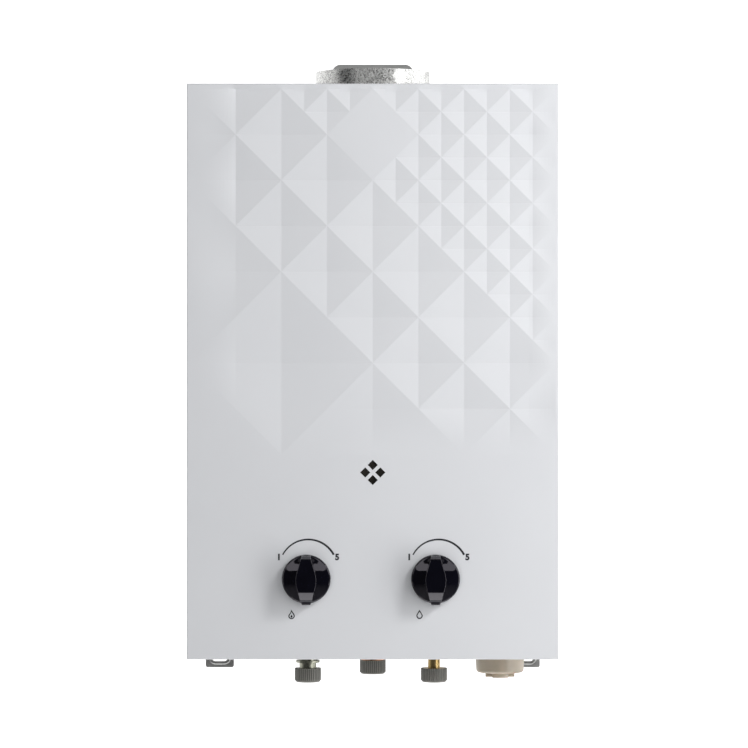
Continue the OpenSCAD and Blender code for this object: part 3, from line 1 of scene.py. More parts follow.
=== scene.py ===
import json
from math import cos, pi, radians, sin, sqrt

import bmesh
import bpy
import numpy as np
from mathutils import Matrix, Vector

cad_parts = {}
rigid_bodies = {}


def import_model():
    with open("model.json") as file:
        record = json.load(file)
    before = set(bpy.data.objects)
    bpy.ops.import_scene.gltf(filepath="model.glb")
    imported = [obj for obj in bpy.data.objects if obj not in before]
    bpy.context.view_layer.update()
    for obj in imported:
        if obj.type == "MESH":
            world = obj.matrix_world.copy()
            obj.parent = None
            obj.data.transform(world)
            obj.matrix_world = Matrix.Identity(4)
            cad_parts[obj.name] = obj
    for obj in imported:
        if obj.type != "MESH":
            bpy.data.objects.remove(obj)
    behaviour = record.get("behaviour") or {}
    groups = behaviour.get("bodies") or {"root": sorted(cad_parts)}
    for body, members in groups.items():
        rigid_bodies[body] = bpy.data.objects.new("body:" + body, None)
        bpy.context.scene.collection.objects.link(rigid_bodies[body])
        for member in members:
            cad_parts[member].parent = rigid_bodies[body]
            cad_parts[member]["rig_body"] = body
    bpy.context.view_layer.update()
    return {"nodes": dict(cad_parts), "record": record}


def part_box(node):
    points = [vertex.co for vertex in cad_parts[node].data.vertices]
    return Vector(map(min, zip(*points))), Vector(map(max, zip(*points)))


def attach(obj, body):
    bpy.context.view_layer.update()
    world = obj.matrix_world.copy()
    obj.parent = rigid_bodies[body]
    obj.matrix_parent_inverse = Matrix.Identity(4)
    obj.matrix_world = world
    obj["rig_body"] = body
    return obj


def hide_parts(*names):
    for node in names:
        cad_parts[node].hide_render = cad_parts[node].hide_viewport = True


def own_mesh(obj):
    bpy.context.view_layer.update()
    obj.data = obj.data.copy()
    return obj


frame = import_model()

# %% [markdown]
# # A wall-hung gas water heater, made to look real
#
# The construction model gives every piece its place and its size. This script dresses it: it rebuilds the
# pieces whose surface is the look of the appliance (the pressed cover, the moulded knobs, the printed
# scale), softens the edges of the metal and plastic that shows around the cover, gives every piece a
# finish made from procedural textures, and sets up a product photograph.
#
# Lengths are written in millimetres and turned into metres as the meshes are made.

MM = 0.001
scene = bpy.context.scene
slot_of = {part["node"]: part["material_slot"] for part in frame["record"]["subparts"]}

# %% [markdown]
# ## Finishes
#
# Each finish is one material. All of them use object coordinates, so a texture keeps its real size and
# travels with its piece. Three small helpers cover most needs: a noise that can be stretched to look
# brushed or drawn, a ramp between two colours, and a roughness that wanders. A perfectly even surface is
# what makes a computed picture look computed.


# %% material helpers
NOISE_LOW = 0.3
NOISE_HIGH = 0.7
GRAIN_DETAIL = 4.0


def add_node(tree, kind, values=None, **settings):
    node = tree.nodes.new("ShaderNode" + kind)
    for name, value in settings.items():
        setattr(node, name, value)
    for name, value in (values or {}).items():
        node.inputs[name].default_value = value
    return node


def start_finish(name, metallic=0.0, **values):
    material = bpy.data.materials.new(name)
    material.use_nodes = True
    tree = material.node_tree
    shader = tree.nodes["Principled BSDF"]
    shader.inputs["Metallic"].default_value = metallic
    for socket, value in values.items():
        shader.inputs[socket.replace("_", " ")].default_value = value
    return material, tree, shader


def placed_texture(tree, kind, values, stretch=(1, 1, 1)):
    place = add_node(tree, "TexCoord")
    scale = add_node(tree, "Mapping", {"Scale": stretch})
    texture = add_node(tree, kind, values)
    tree.links.new(place.outputs["Object"], scale.inputs["Vector"])
    tree.links.new(scale.outputs["Vector"], texture.inputs["Vector"])
    return texture


def noise(tree, scale, detail, stretch=(1, 1, 1)):
    texture = placed_texture(tree, "TexNoise", {"Scale": scale, "Detail": detail}, stretch)
    return texture.outputs["Fac"]


def shade_between(tree, shader, factor, dark, light, start=NOISE_LOW, end=NOISE_HIGH):
    ramp = add_node(tree, "ValToRGB")
    ramp.color_ramp.elements[0].position = start
    ramp.color_ramp.elements[0].color = (*dark, 1)
    ramp.color_ramp.elements[1].position = end
    ramp.color_ramp.elements[1].color = (*light, 1)
    tree.links.new(factor, ramp.inputs["Fac"])
    tree.links.new(ramp.outputs["Color"], shader.inputs["Base Color"])


def vary_roughness(tree, shader, factor, low, high):
    limits = {"From Min": NOISE_LOW, "From Max": NOISE_HIGH, "To Min": low, "To Max": high}
    spread = add_node(tree, "MapRange", limits)
    tree.links.new(factor, spread.inputs["Value"])
    tree.links.new(spread.outputs["Result"], shader.inputs["Roughness"])


def add_bump(tree, shader, factor, height_mm):
    bump = add_node(tree, "Bump", {"Distance": height_mm * MM, "Strength": 1.0})
    tree.links.new(factor, bump.inputs["Height"])
    tree.links.new(bump.outputs["Normal"], shader.inputs["Normal"])


def simple_finish(
        name, dark, light, rough, scale, bump_mm=0.0, metallic=0.0, stretch=(1, 1, 1), **values):
    material, tree, shader = start_finish(name, metallic, **values)
    grain = noise(tree, scale, GRAIN_DETAIL, stretch)
    shade_between(tree, shader, grain, dark, light)
    vary_roughness(tree, shader, grain, *rough)
    if bump_mm:
        add_bump(tree, shader, grain, bump_mm)
    return material


FINISH = {}

# %% [markdown]
# ### White enamel
#
# The cover is pressed steel with a stoved white coat. Enamel flows as it bakes, so it has a very fine
# orange peel and a broad, hardly visible change of tone. It is semi-gloss: rough enough that the relief
# shows by shading rather than by mirror images.

# %% enamel
enamel, enamel_tree, enamel_shader = start_finish("white_enamel", IOR=1.5)
peel = noise(enamel_tree, scale=700.0, detail=2.0)
tone = noise(enamel_tree, scale=6.0, detail=2.0)
shade_between(enamel_tree, enamel_shader, tone, (0.690, 0.700, 0.724), (0.713, 0.723, 0.746))
vary_roughness(enamel_tree, enamel_shader, tone, low=0.34, high=0.40)
add_bump(enamel_tree, enamel_shader, peel, height_mm=0.004)
FINISH["white_enamel"] = enamel
print("enamel made")

# %% [markdown]
# ### Galvanised sheet
#
# Zinc freezes on the steel in small crystals. A fine Voronoi texture gives each crystal its own tone and
# its own roughness, and a broad noise adds the clouds that handled sheet has.

# %% galvanised sheet
zinc, zinc_tree, zinc_shader = start_finish("galvanised", metallic=1.0)
crystal = placed_texture(zinc_tree, "TexVoronoi", {"Scale": 1000.0}).outputs["Color"]
cloud = noise(zinc_tree, scale=45.0, detail=3.0)
mixed = add_node(zinc_tree, "Mix", {"Factor": 0.2}, data_type="RGBA")
zinc_tree.links.new(crystal, mixed.inputs["A"])
zinc_tree.links.new(cloud, mixed.inputs["B"])
zinc_tone = mixed.outputs["Result"]
shade_between(zinc_tree, zinc_shader, zinc_tone, (0.27, 0.27, 0.265), (0.66, 0.66, 0.65))
vary_roughness(zinc_tree, zinc_shader, zinc_tone, low=0.24, high=0.36)
add_bump(zinc_tree, zinc_shader, crystal, height_mm=0.08)
FINISH["galvanised"] = zinc
print("galvanised sheet made")

# %% [markdown]
# ### Plain metals
#
# Bright steel, copper, brass and die-cast alloy differ by colour and by grain. Drawn and turned parts get
# a noise stretched along their length, cast ones an even one with a little bump.

# %% metals
FINISH["steel"] = simple_finish(
    "steel", (0.40, 0.40, 0.39), (0.58, 0.58, 0.57), rough=(0.26, 0.42), scale=500.0,
    metallic=1.0, stretch=(1, 1, 0.15))
FINISH["copper"] = simple_finish(
    "copper", (0.52, 0.22, 0.11), (0.80, 0.42, 0.26), rough=(0.22, 0.40), scale=120.0,
    metallic=1.0, stretch=(1, 1, 0.4))
FINISH["brass"] = simple_finish(
    "brass", (0.36, 0.25, 0.10), (0.54, 0.40, 0.18), rough=(0.30, 0.44), scale=300.0,
    metallic=1.0, stretch=(0.4, 0.4, 1))
FINISH["diecast"] = simple_finish(
    "diecast", (0.42, 0.43, 0.44), (0.58, 0.59, 0.60), rough=(0.40, 0.55), scale=600.0,
    bump_mm=0.03, metallic=1.0)
FINISH["cell_can"] = simple_finish(
    "cell_can", (0.10, 0.12, 0.16), (0.16, 0.18, 0.22), rough=(0.22, 0.32), scale=200.0, metallic=0.6)
print("metals made")

# %% [markdown]
# ### Plastics, rubber, ceramic and mica
#
# The knobs are polished black moulding, the transit caps a dull grey-brown one with painted shade: an
# occlusion test darkens its colour in the grooves between its ribs. The battery cap is a cream moulding that
# lets a little light in. Silicone leads, rubber seals, glazed ceramic and the mica pane complete the set.
# Two steel pieces get a zinc finish of their own: the dull chassis plate and the greenish gas connection.

# %% other finishes
# how far the painted shade in the caps' grooves looks for nearby surface
GROOVE_SHADE_REACH = 1.2
FINISH["knob_black"] = simple_finish(
    "knob_black", (0.001, 0.001, 0.003), (0.002, 0.002, 0.005), rough=(0.03, 0.06), scale=60.0,
    IOR=1.5, Specular_Tint=(0.94, 0.90, 1.0, 1))
FINISH["black_plastic"] = simple_finish(
    "black_plastic", (0.014, 0.014, 0.016), (0.024, 0.024, 0.027), rough=(0.45, 0.60), scale=800.0,
    bump_mm=0.01)
cap_grey, cap_tree, cap_shader = start_finish("cap_grey")
cap_grain = noise(cap_tree, scale=500.0, detail=GRAIN_DETAIL)
# painted shade: ambient occlusion darkens the caps' colour in the grooves, where shade falls, and leaves the
# ribs light
painted_groove_shade = add_node(cap_tree, "AmbientOcclusion", {"Distance": GROOVE_SHADE_REACH * MM}, only_local=True)
shade_between(
    cap_tree, cap_shader, painted_groove_shade.outputs["AO"], (0.03, 0.03, 0.027), (0.27, 0.265, 0.24),
    start=0.45, end=0.95)
vary_roughness(cap_tree, cap_shader, cap_grain, low=0.42, high=0.55)
add_bump(cap_tree, cap_shader, cap_grain, height_mm=0.01)
FINISH["cap_grey"] = cap_grey
FINISH["cream"] = simple_finish(
    "cream", (0.49, 0.42, 0.33), (0.55, 0.475, 0.38), rough=(0.38, 0.46), scale=90.0,
    bump_mm=0.003, Subsurface_Weight=0.15, Subsurface_Scale=0.002)
FINISH["rubber"] = simple_finish(
    "rubber", (0.018, 0.018, 0.018), (0.032, 0.032, 0.032), rough=(0.70, 0.85), scale=700.0,
    bump_mm=0.02)
FINISH["ceramic"] = simple_finish(
    "ceramic", (0.76, 0.74, 0.69), (0.84, 0.82, 0.77), rough=(0.14, 0.22), scale=300.0)
FINISH["mica"] = simple_finish(
    "mica", (0.010, 0.009, 0.008), (0.022, 0.019, 0.016), rough=(0.12, 0.24), scale=90.0,
    stretch=(1, 1, 0.3))
FINISH["lead_insulation"] = simple_finish(
    "lead_insulation", (0.28, 0.012, 0.010), (0.38, 0.022, 0.018), rough=(0.45, 0.60), scale=400.0)
PLATE = simple_finish(
    "dull_zinc", (0.40, 0.40, 0.395), (0.49, 0.49, 0.485), rough=(0.42, 0.55), scale=70.0,
    metallic=1.0)
PASSIVATED = simple_finish(
    "passivated_zinc", (0.13, 0.135, 0.11), (0.38, 0.38, 0.31), rough=(0.28, 0.42), scale=300.0,
    metallic=1.0)
INK = simple_finish(
    "printed_ink", (0.012, 0.012, 0.016), (0.022, 0.022, 0.028), rough=(0.40, 0.52), scale=900.0)
OWN_FINISH = {"back_plate": PLATE, "gas_inlet_fitting": PASSIVATED}
print("finishes:", len(FINISH), "and own ones for:", ", ".join(OWN_FINISH))

# %% [markdown]
# ## Mesh helpers
#
# A piece is a mesh that rides on one body of the construction model. Most pieces stand for a node that they
# replace. `softened` copies a node's mesh and rounds its hard edges, because real sheet, castings and
# mouldings have no sharp edge. `keep_faces_flat` lets the large faces set the shading, so that only the
# rounded edges look round.


# %% mesh helpers
WELD = 0.001
LEVEL_ANGLE = 1
SMOOTH_ANGLE = 30
SOFT_ANGLE = 35


def make_mesh(name, points, faces):
    mesh = bpy.data.meshes.new(name)
    mesh.from_pydata([Vector(p) * MM for p in points], [], faces)
    mesh.validate()
    return mesh


def shade(mesh, angle=SMOOTH_ANGLE):
    mesh.shade_smooth()
    mesh.set_sharp_from_angle(angle=radians(angle))


def add_piece(name, mesh, body, slot, *replaced, finish=None):
    piece = bpy.data.objects.new(name, mesh)
    scene.collection.objects.link(piece)
    mesh.materials.clear()
    mesh.materials.append(finish or FINISH[slot])
    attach(piece, body)
    if replaced:
        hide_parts(*replaced)
    return piece


def bake(piece):
    graph = bpy.context.evaluated_depsgraph_get()
    result = bpy.data.meshes.new_from_object(piece.evaluated_get(graph))
    piece.modifiers.clear()
    piece.data = result


def combine(piece, other_mesh, operation):
    other = bpy.data.objects.new("cutter", other_mesh)
    scene.collection.objects.link(other)
    step = piece.modifiers.new("combine", "BOOLEAN")
    step.operation = operation
    step.object = other
    bake(piece)
    bpy.data.objects.remove(other)


def face_outwards(mesh):
    shape = bmesh.new()
    shape.from_mesh(mesh)
    bmesh.ops.recalc_face_normals(shape, faces=shape.faces)
    shape.to_mesh(mesh)
    shape.free()


def round_edges(mesh, width, least_angle, segments=2):
    shape = bmesh.new()
    shape.from_mesh(mesh)
    bmesh.ops.remove_doubles(shape, verts=shape.verts, dist=WELD * MM)
    bmesh.ops.dissolve_limit(shape, angle_limit=radians(LEVEL_ANGLE), verts=shape.verts, edges=shape.edges)
    hard = [e for e in shape.edges if e.is_manifold and e.calc_face_angle(0) > radians(least_angle)]
    bmesh.ops.bevel(shape, geom=hard, offset=width * MM, segments=segments, profile=0.5,
                    affect="EDGES", clamp_overlap=True)
    shape.to_mesh(mesh)
    shape.free()
    shade(mesh)


def keep_faces_flat(piece):
    weighted = piece.modifiers.new("flat_faces", "WEIGHTED_NORMAL")
    weighted.keep_sharp = True
    bake(piece)


def softened(node, width):
    mesh = frame["nodes"][node].data.copy()
    round_edges(mesh, width, SOFT_ANGLE)
    body = frame["nodes"][node]["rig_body"]
    own = OWN_FINISH.get(node)
    piece = add_piece(node + "_finished", mesh, body, slot_of[node], node, finish=own)
    keep_faces_flat(piece)
    return piece


# %% [markdown]
# ## The pressed cover
#
# The cover is one sheet: a front with a diamond-point relief, two folded sides, and a short lip turned
# back at the top and the bottom. A press tool sinks the relief into the sheet, so it is built here as a
# grid whose points are pushed back. The diamonds are pyramids on a lattice turned by 45 degrees. They
# come in three sizes, in bands that fall from the upper left to the lower right, each twice the size of
# the one before. They fade out towards the left and right edges and towards the lower right. Four small
# ones near the top aren't pressed, which leaves a flat place.
#
# Each entry of BANDS says where a band starts, half the size of its pyramids, both counted in pitches of
# the lattice, and their depth. Every crease of a pyramid lies on a line or on a diagonal of the grid, so
# the creases can stay crisp while the slopes between them stay smooth.

# %% relief of the cover
cover_low, cover_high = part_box("front_cover")
HALF_W = cover_high.x / MM
TOP = cover_high.z / MM
BOTTOM = cover_low.z / MM
FRONT = cover_low.y / MM
SIDE_BACK = cover_high.y / MM
PITCH = 21.5
HALF_COLUMNS = 8
ROWS_DOWN = 4
RELIEF_MID = 8.0
RELIEF_LOW = RELIEF_MID - ROWS_DOWN * PITCH
CELLS = 6
STEP = PITCH / CELLS
FOLD_R = 0.9
EDGE_R = 1.0
LIP = 16.0
SHEET = 0.9
BANDS = [(8, 1, 1.9), (0, 2, 3.3), (-8, 4, 4.5)]
PATCH_Z = 226.0
PATCH_R = 30.0
LEFT_FADE = 2 * PITCH
RIGHT_FADE = 26.0
TOP_FADE = 4.0
LOW_FADE = 2 * PITCH
FLAT_ROWS = 24


def fade(value):
    return np.clip(value, 0.0, 1.0)


def relief(x, z):
    s = (x + z - RELIEF_MID) / PITCH
    t = (x - z + RELIEF_MID) / PITCH
    depth = np.zeros_like(s)
    upper = np.inf
    for start, half, deep in BANDS:
        inside = (s >= start) & (s < upper)
        off_s = (s - start) % (2 * half) - half
        off_t = t % (2 * half) - half
        pyramid = deep * (1 - np.maximum(np.abs(off_s), np.abs(off_t)) / half)
        centre_x = (s - off_s + t - off_t) * PITCH / 2
        centre_z = (s - off_s - t + off_t) * PITCH / 2 + RELIEF_MID
        pressed = np.hypot(centre_x, centre_z - PATCH_Z) > PATCH_R
        depth = np.where(inside, pyramid * pressed, depth)
        upper = start
    reach = HALF_COLUMNS * PITCH
    left = fade((x + reach) / LEFT_FADE) ** 2
    right = fade((reach - x) / RIGHT_FADE)
    low = np.where(t > 0, fade((z - RELIEF_LOW) / LOW_FADE), 1.0)
    high = fade((TOP - EDGE_R - z) / TOP_FADE)
    return depth * left * right * low * high


edge_x = HALF_W - FOLD_R
lattice_x = np.arange(-HALF_COLUMNS * CELLS, HALF_COLUMNS * CELLS + 1) * STEP
front_x = np.concatenate([[-edge_x], lattice_x, [edge_x]])
relief_z = np.arange(RELIEF_LOW, TOP - EDGE_R - STEP / 4, STEP)
flat_z = np.linspace(BOTTOM + EDGE_R, RELIEF_LOW, FLAT_ROWS, endpoint=False)
rows_z = np.concatenate([flat_z, relief_z, [TOP - EDGE_R]])
grid_x, grid_z = np.meshgrid(front_x, rows_z, indexing="ij")
depth = np.where(grid_z > RELIEF_LOW, relief(grid_x, grid_z), 0.0)
depth[:, -1] = 0
print("relief grid:", depth.shape, "deepest:", round(float(depth.max()), 2), "mm")

# %% [markdown]
# ### Folding the sheet
#
# The grid is continued around the two side folds to the back edges, and at the top and the bottom over a
# small radius into the lips. A cell that a crease crosses is split along it. The lips stop at the folds,
# which leaves the little open notch in each corner that a folded sheet has. Thickness is added inwards at
# the end.

# %% sheet of the cover
FOLD_STEPS = 6
LIP_TURN = np.radians([30, 60, 90])
SEAM_WELD = 0.01
turn = np.radians(np.linspace(0, 90, FOLD_STEPS, endpoint=False))
fold = [(-HALF_W + FOLD_R * (1 - cos(a)), FRONT + FOLD_R * (1 - sin(a))) for a in turn]
left_side = [(-HALF_W, SIDE_BACK)] + fold
right_side = [(-x, y) for x, y in reversed(left_side)]
columns = left_side + [(x, FRONT) for x in front_x] + right_side
first = len(left_side)
last = first + len(front_x) - 1
points = []
faces = []


def crease_direction(x, z):
    across = round((x + z - RELIEF_MID) / STEP)
    along = round((x - z + RELIEF_MID) / STEP)
    if z < RELIEF_LOW or abs(x) > HALF_COLUMNS * PITCH:
        return 0
    if (across + 1) % (2 * CELLS) == 0:
        return -1
    return 1 if along % (2 * CELLS) == 0 else 0


def add_grid(rows, creased=False):
    start = len(points)
    width = len(rows[0])
    for row in rows:
        points.extend(row)
    for j in range(len(rows) - 1):
        for i in range(width - 1):
            a = start + j * width + i
            b, c, d = a + 1, a + 1 + width, a + width
            direction = crease_direction(rows[j][i][0], rows[j][i][2]) if creased else 0
            if direction < 0:
                faces.extend([(a, b, d), (b, c, d)])
            elif direction > 0:
                faces.extend([(a, b, c), (a, c, d)])
            else:
                faces.append((a, b, c, d))


def front_row(j, z):
    row = []
    for i, (x, y) in enumerate(columns):
        sunk = depth[i - first, j] if first <= i <= last else 0
        row.append((x, y + sunk, z))
    return row


add_grid([front_row(j, z) for j, z in enumerate(rows_z)], creased=True)
for end, sign in ((TOP, 1), (BOTTOM, -1)):
    lip = [[(x, FRONT, end - sign * EDGE_R) for x in front_x]]
    for a in LIP_TURN:
        y = FRONT + EDGE_R * (1 - cos(a))
        lip.append([(x, y, end - sign * EDGE_R * (1 - sin(a))) for x in front_x])
    lip.append([(x, FRONT + LIP, end) for x in front_x])
    add_grid(lip[::sign])
    for side in (left_side + [(front_x[0], FRONT)], [(front_x[-1], FRONT)] + right_side):
        strip = [[(x, y, end - sign * EDGE_R) for x, y in side], [(x, y, end) for x, y in side]]
        add_grid(strip[::sign])
cover_mesh = make_mesh("front_cover_sheet", points, faces)
sheet_shape = bmesh.new()
sheet_shape.from_mesh(cover_mesh)
bmesh.ops.remove_doubles(sheet_shape, verts=sheet_shape.verts, dist=SEAM_WELD * MM)
sheet_shape.to_mesh(cover_mesh)
sheet_shape.free()
cover = add_piece("front_cover_sheet", cover_mesh, "casing", "white_enamel", "front_cover")
thicken = cover.modifiers.new("thickness", "SOLIDIFY")
thicken.thickness = SHEET * MM
thicken.offset = -1
bake(cover)
print("cover sheet:", len(cover.data.vertices), "points")

# %% [markdown]
# ### Window and spindle holes
#
# The sight window is four small diamonds set in a diamond. The two knobs sit over round holes for their
# spindles. Straight punches cut them all in one stroke.

# %% holes of the cover
WINDOW_Z = -95.0
WINDOW_PITCH = 7.1
WINDOW_HALF = 4.8
KNOB_Z = -195.0
KNOB_X = {"flame": -62.5, "water": 59.0}
HOLE_R = 7.0
HOLE_SIDES = 32
PUNCH_REACH = 4
CREASE_ANGLE = 1.2
FOLD_ANGLE = 32
FRONT_FACING = 0.95
COMPASS = [(0, 1), (-1, 0), (0, -1), (1, 0)]


def add_punch(points, faces, outline):
    start = len(points)
    count = len(outline)
    points.extend([(x, FRONT - PUNCH_REACH, z) for x, z in outline])
    points.extend([(x, FRONT + PUNCH_REACH, z) for x, z in outline])
    faces.append(tuple(range(start, start + count)))
    faces.append(tuple(reversed(range(start + count, start + 2 * count))))
    for k in range(count):
        a = start + k
        b = start + (k + 1) % count
        faces.append((b, a, a + count, b + count))


punch_points = []
punch_faces = []
for dx, dz in COMPASS:
    cx = dx * WINDOW_PITCH
    cz = WINDOW_Z + dz * WINDOW_PITCH
    diamond = [(cx + ux * WINDOW_HALF, cz + uz * WINDOW_HALF) for ux, uz in COMPASS]
    add_punch(punch_points, punch_faces, diamond)
hole_turn = np.linspace(0, 2 * pi, HOLE_SIDES, endpoint=False)
for x in KNOB_X.values():
    ring = [(x + HOLE_R * cos(a), KNOB_Z + HOLE_R * sin(a)) for a in hole_turn]
    add_punch(punch_points, punch_faces, ring)
combine(cover, make_mesh("punch", punch_points, punch_faces), "DIFFERENCE")
cover_shape = bmesh.new()
cover_shape.from_mesh(cover.data)
for face in cover_shape.faces:
    face.smooth = True
for edge in cover_shape.edges:
    on_front = all(face.normal.y < -FRONT_FACING for face in edge.link_faces)
    limit = CREASE_ANGLE if on_front else FOLD_ANGLE
    edge.smooth = edge.calc_face_angle(0) < radians(limit)
cover_shape.to_mesh(cover.data)
cover_shape.free()
print("cover after punching:", len(cover.data.polygons), "faces")

# %% [markdown]
# ## Knobs
#
# Each knob is a moulding: a slightly domed round skirt with a grip bar across it. The bar is
# barrel-shaped, widest in the middle, steeply cut at its upper end and sloped down to a pointing nose at
# its lower end. It is lofted through a few sections (place along the bar, half width, height) and joined
# to the skirt.

# %% knobs
SKIRT_R = 23.0
SKIRT_FOOT = 0.6
SKIRT_SIDES = 72
DOME_R = 60.0
DOME_EDGE = 20.4
DOME_TIP = 0.4
DOME_RINGS = 9
RIM_H = 6.4
RIM_TURN = np.radians([0, 20, 40, 60])
GRIP_BASE = 2.0
GRIP_DRAFT = 0.5
GRIP_EDGE = 0.55
GRIP_EDGE_ANGLE = 14
GRIP_EDGE_STEPS = 3
KNOB_SMOOTH = 24
KNOB_GAP = 1.2
GRIP = [(22.3, 4.3, 15.5), (19.6, 4.7, 22), (10, 7.5, 22), (5, 9.0, 22), (0, 9.7, 22), (-5, 9.3, 22),
        (-11.6, 7.5, 22), (-18.7, 6.0, 15), (-20.2, 5.2, 12.6), (-24, 4.0, 9.8)]
KNOB_BACK = FRONT - KNOB_GAP


def lathe(profile, count, x, z):
    points = []
    faces = []
    for r, h in profile:
        for k in range(count):
            a = 2 * pi * k / count
            points.append((x + r * cos(a), KNOB_BACK - h, z + r * sin(a)))
    for j in range(len(profile) - 1):
        for k in range(count):
            a = j * count + k
            b = j * count + (k + 1) % count
            faces.append((a, b, b + count, a + count))
    faces.append(tuple(reversed(range(count))))
    faces.append(tuple(range((len(profile) - 1) * count, len(profile) * count)))
    return points, faces


def grip_mesh(x, z):
    points = []
    faces = []
    for along, half, high in GRIP:
        base = half + GRIP_DRAFT
        for px, ph in ((-base, GRIP_BASE), (-half, high), (half, high), (base, GRIP_BASE)):
            points.append((x + px, KNOB_BACK - ph, z + along))
    for j in range(len(GRIP) - 1):
        for k in range(4):
            a = 4 * j + k
            b = 4 * j + (k + 1) % 4
            faces.append((a, b, b + 4, a + 4))
    faces.append((3, 2, 1, 0))
    end = 4 * (len(GRIP) - 1)
    faces.append((end, end + 1, end + 2, end + 3))
    mesh = make_mesh("grip", points, faces)
    face_outwards(mesh)
    round_edges(mesh, GRIP_EDGE, GRIP_EDGE_ANGLE, GRIP_EDGE_STEPS)
    return mesh


def skirt_mesh(x, z):
    top = RIM_H + DOME_R - sqrt(DOME_R ** 2 - DOME_EDGE ** 2)
    dome = []
    for r in np.linspace(DOME_EDGE, DOME_TIP, DOME_RINGS):
        dome.append((r, top - (DOME_R - sqrt(DOME_R ** 2 - r ** 2))))
    round_r = SKIRT_R - DOME_EDGE
    rim = [(DOME_EDGE + round_r * cos(a), RIM_H - round_r * (1 - sin(a))) for a in RIM_TURN]
    foot = [(SKIRT_R - SKIRT_FOOT, 0), (SKIRT_R, SKIRT_FOOT)]
    points, faces = lathe(foot + rim + dome, SKIRT_SIDES, x, z)
    mesh = make_mesh("skirt", points, faces)
    face_outwards(mesh)
    return mesh


for name, x in KNOB_X.items():
    skirt = skirt_mesh(x, KNOB_Z)
    knob = add_piece(name + "_knob_moulding", skirt, name + "_dial", "knob_black", name + "_knob")
    combine(knob, grip_mesh(x, KNOB_Z), "UNION")
    shade(knob.data, KNOB_SMOOTH)
    keep_faces_flat(knob)
    print(knob.name, len(knob.data.polygons), "faces")

# %% [markdown]
# ## Printed scale
#
# The scale is pad-printed on the enamel: an arc over each knob that thickens from low to high, the
# numbers 1 and 5 at its ends, and a small flame and a drop that say which knob is which. Ink is a film,
# so each mark is a sheet a few hundredths of a millimetre thick lying on the front.

# %% marks
INK_T = 0.05
ARC_R = 27.2
ARC_Z = -185.2
ARC_X = {"flame": -60.7, "water": 61.9}
ARC_HALF_TURN = 62
ARC_THIN = 1.3
ARC_THICK = 2.0
ARC_STEPS = 48
NUMBER_SIZE = 7.8
NUMBER_BOLD = 0.42
NUMBER_Z = -174.8
NUMBER_DX = {"1": -27.6, "5": 27.2}
ICON_Z = -228.7
ICON_X = {"flame": -76.4, "water": 44.0}
ICON_LINE = 0.95


def arc_mesh(x, z):
    points = []
    faces = []
    for k in range(ARC_STEPS + 1):
        a = radians(90 + ARC_HALF_TURN - 2 * ARC_HALF_TURN * k / ARC_STEPS)
        half = (ARC_THIN + (ARC_THICK - ARC_THIN) * k / ARC_STEPS) / 2
        for r in (ARC_R - half, ARC_R + half):
            for y in (FRONT, FRONT - INK_T):
                points.append((x + r * cos(a), y, z + r * sin(a)))
    for k in range(ARC_STEPS):
        for side in ((0, 1), (1, 3), (3, 2), (2, 0)):
            a = 4 * k + side[0]
            b = 4 * k + side[1]
            faces.append((a, b, b + 4, a + 4))
    faces.append((0, 2, 3, 1))
    faces.append(tuple(4 * ARC_STEPS + k for k in (0, 1, 3, 2)))
    return make_mesh("arc", points, faces)


def printed(name, curve, x, z):
    curve.extrude = INK_T / 2 * MM
    drawn = bpy.data.objects.new(name, curve)
    scene.collection.objects.link(drawn)
    graph = bpy.context.evaluated_depsgraph_get()
    mesh = bpy.data.meshes.new_from_object(drawn.evaluated_get(graph))
    bpy.data.objects.remove(drawn)
    place = Matrix.Translation(Vector((x, FRONT - INK_T / 2, z)) * MM)
    mesh.transform(place @ Matrix.Rotation(radians(90), 4, "X"))
    add_piece(name, mesh, "casing", "black_plastic", finish=INK)


def number_curve(text):
    curve = bpy.data.curves.new("number", "FONT")
    curve.body = text
    curve.size = NUMBER_SIZE * MM
    curve.offset = NUMBER_BOLD * MM
    curve.align_x = "CENTER"
    curve.align_y = "CENTER"
    return curve


def add_loop(curve, knots, shrink, lift):
    loop = curve.splines.new("BEZIER")
    loop.bezier_points.add(len(knots) - 1)
    loop.use_cyclic_u = True
    for point, (x, z, kind) in zip(loop.bezier_points, knots):
        point.co = Vector((x * shrink, z * shrink + lift, 0)) * MM
        point.handle_left_type = kind
        point.handle_right_type = kind


def icon_curve(*loops):
    curve = bpy.data.curves.new("icon", "CURVE")
    curve.dimensions = "2D"
    curve.fill_mode = "BOTH"
    for knots, shrink, lift in loops:
        add_loop(curve, knots, shrink, lift)
    return curve


DROP = [(0, 4.6, "VECTOR"), (2.2, 0.9, "AUTO"), (3.0, -1.4, "AUTO"), (0, -4.2, "AUTO"),
        (-3.0, -1.4, "AUTO"), (-2.2, 0.9, "AUTO")]
FLAME = [(-0.4, 4.8, "VECTOR"), (1.2, 2.4, "AUTO"), (2.7, 0.2, "AUTO"), (2.9, -2.2, "AUTO"),
         (0, -4.3, "AUTO"), (-2.9, -2.2, "AUTO"), (-2.5, 0.0, "AUTO"), (-1.0, 2.2, "AUTO")]
ICON_HALF = 2.7
INNER = 1 - ICON_LINE / ICON_HALF
FLAME_LIFT = -0.45
DROP_LIFT = -0.25
HEART = 0.33
HEART_LIFT = -1.5
ICONS = {
    "flame": icon_curve((FLAME, 1.0, 0.0), (FLAME, INNER, FLAME_LIFT), (DROP, HEART, HEART_LIFT)),
    "water": icon_curve((DROP, 1.0, 0.0), (DROP, INNER, DROP_LIFT)),
}
for name, icon in ICONS.items():
    add_piece(name + "_scale", arc_mesh(ARC_X[name], ARC_Z), "casing", "black_plastic", finish=INK)
    for text, dx in NUMBER_DX.items():
        printed(name + "_number_" + text, number_curve(text), ARC_X[name] + dx, NUMBER_Z)
    printed(name + "_icon", icon, ICON_X[name], ICON_Z)
print("marks printed on the cover")

# %% [markdown]
# ## Softened edges
#
# Everything that shows around the cover keeps the shape of the construction model, with its hard edges
# rounded: least on the ribbed caps and the screws, most on the moulded battery cap.

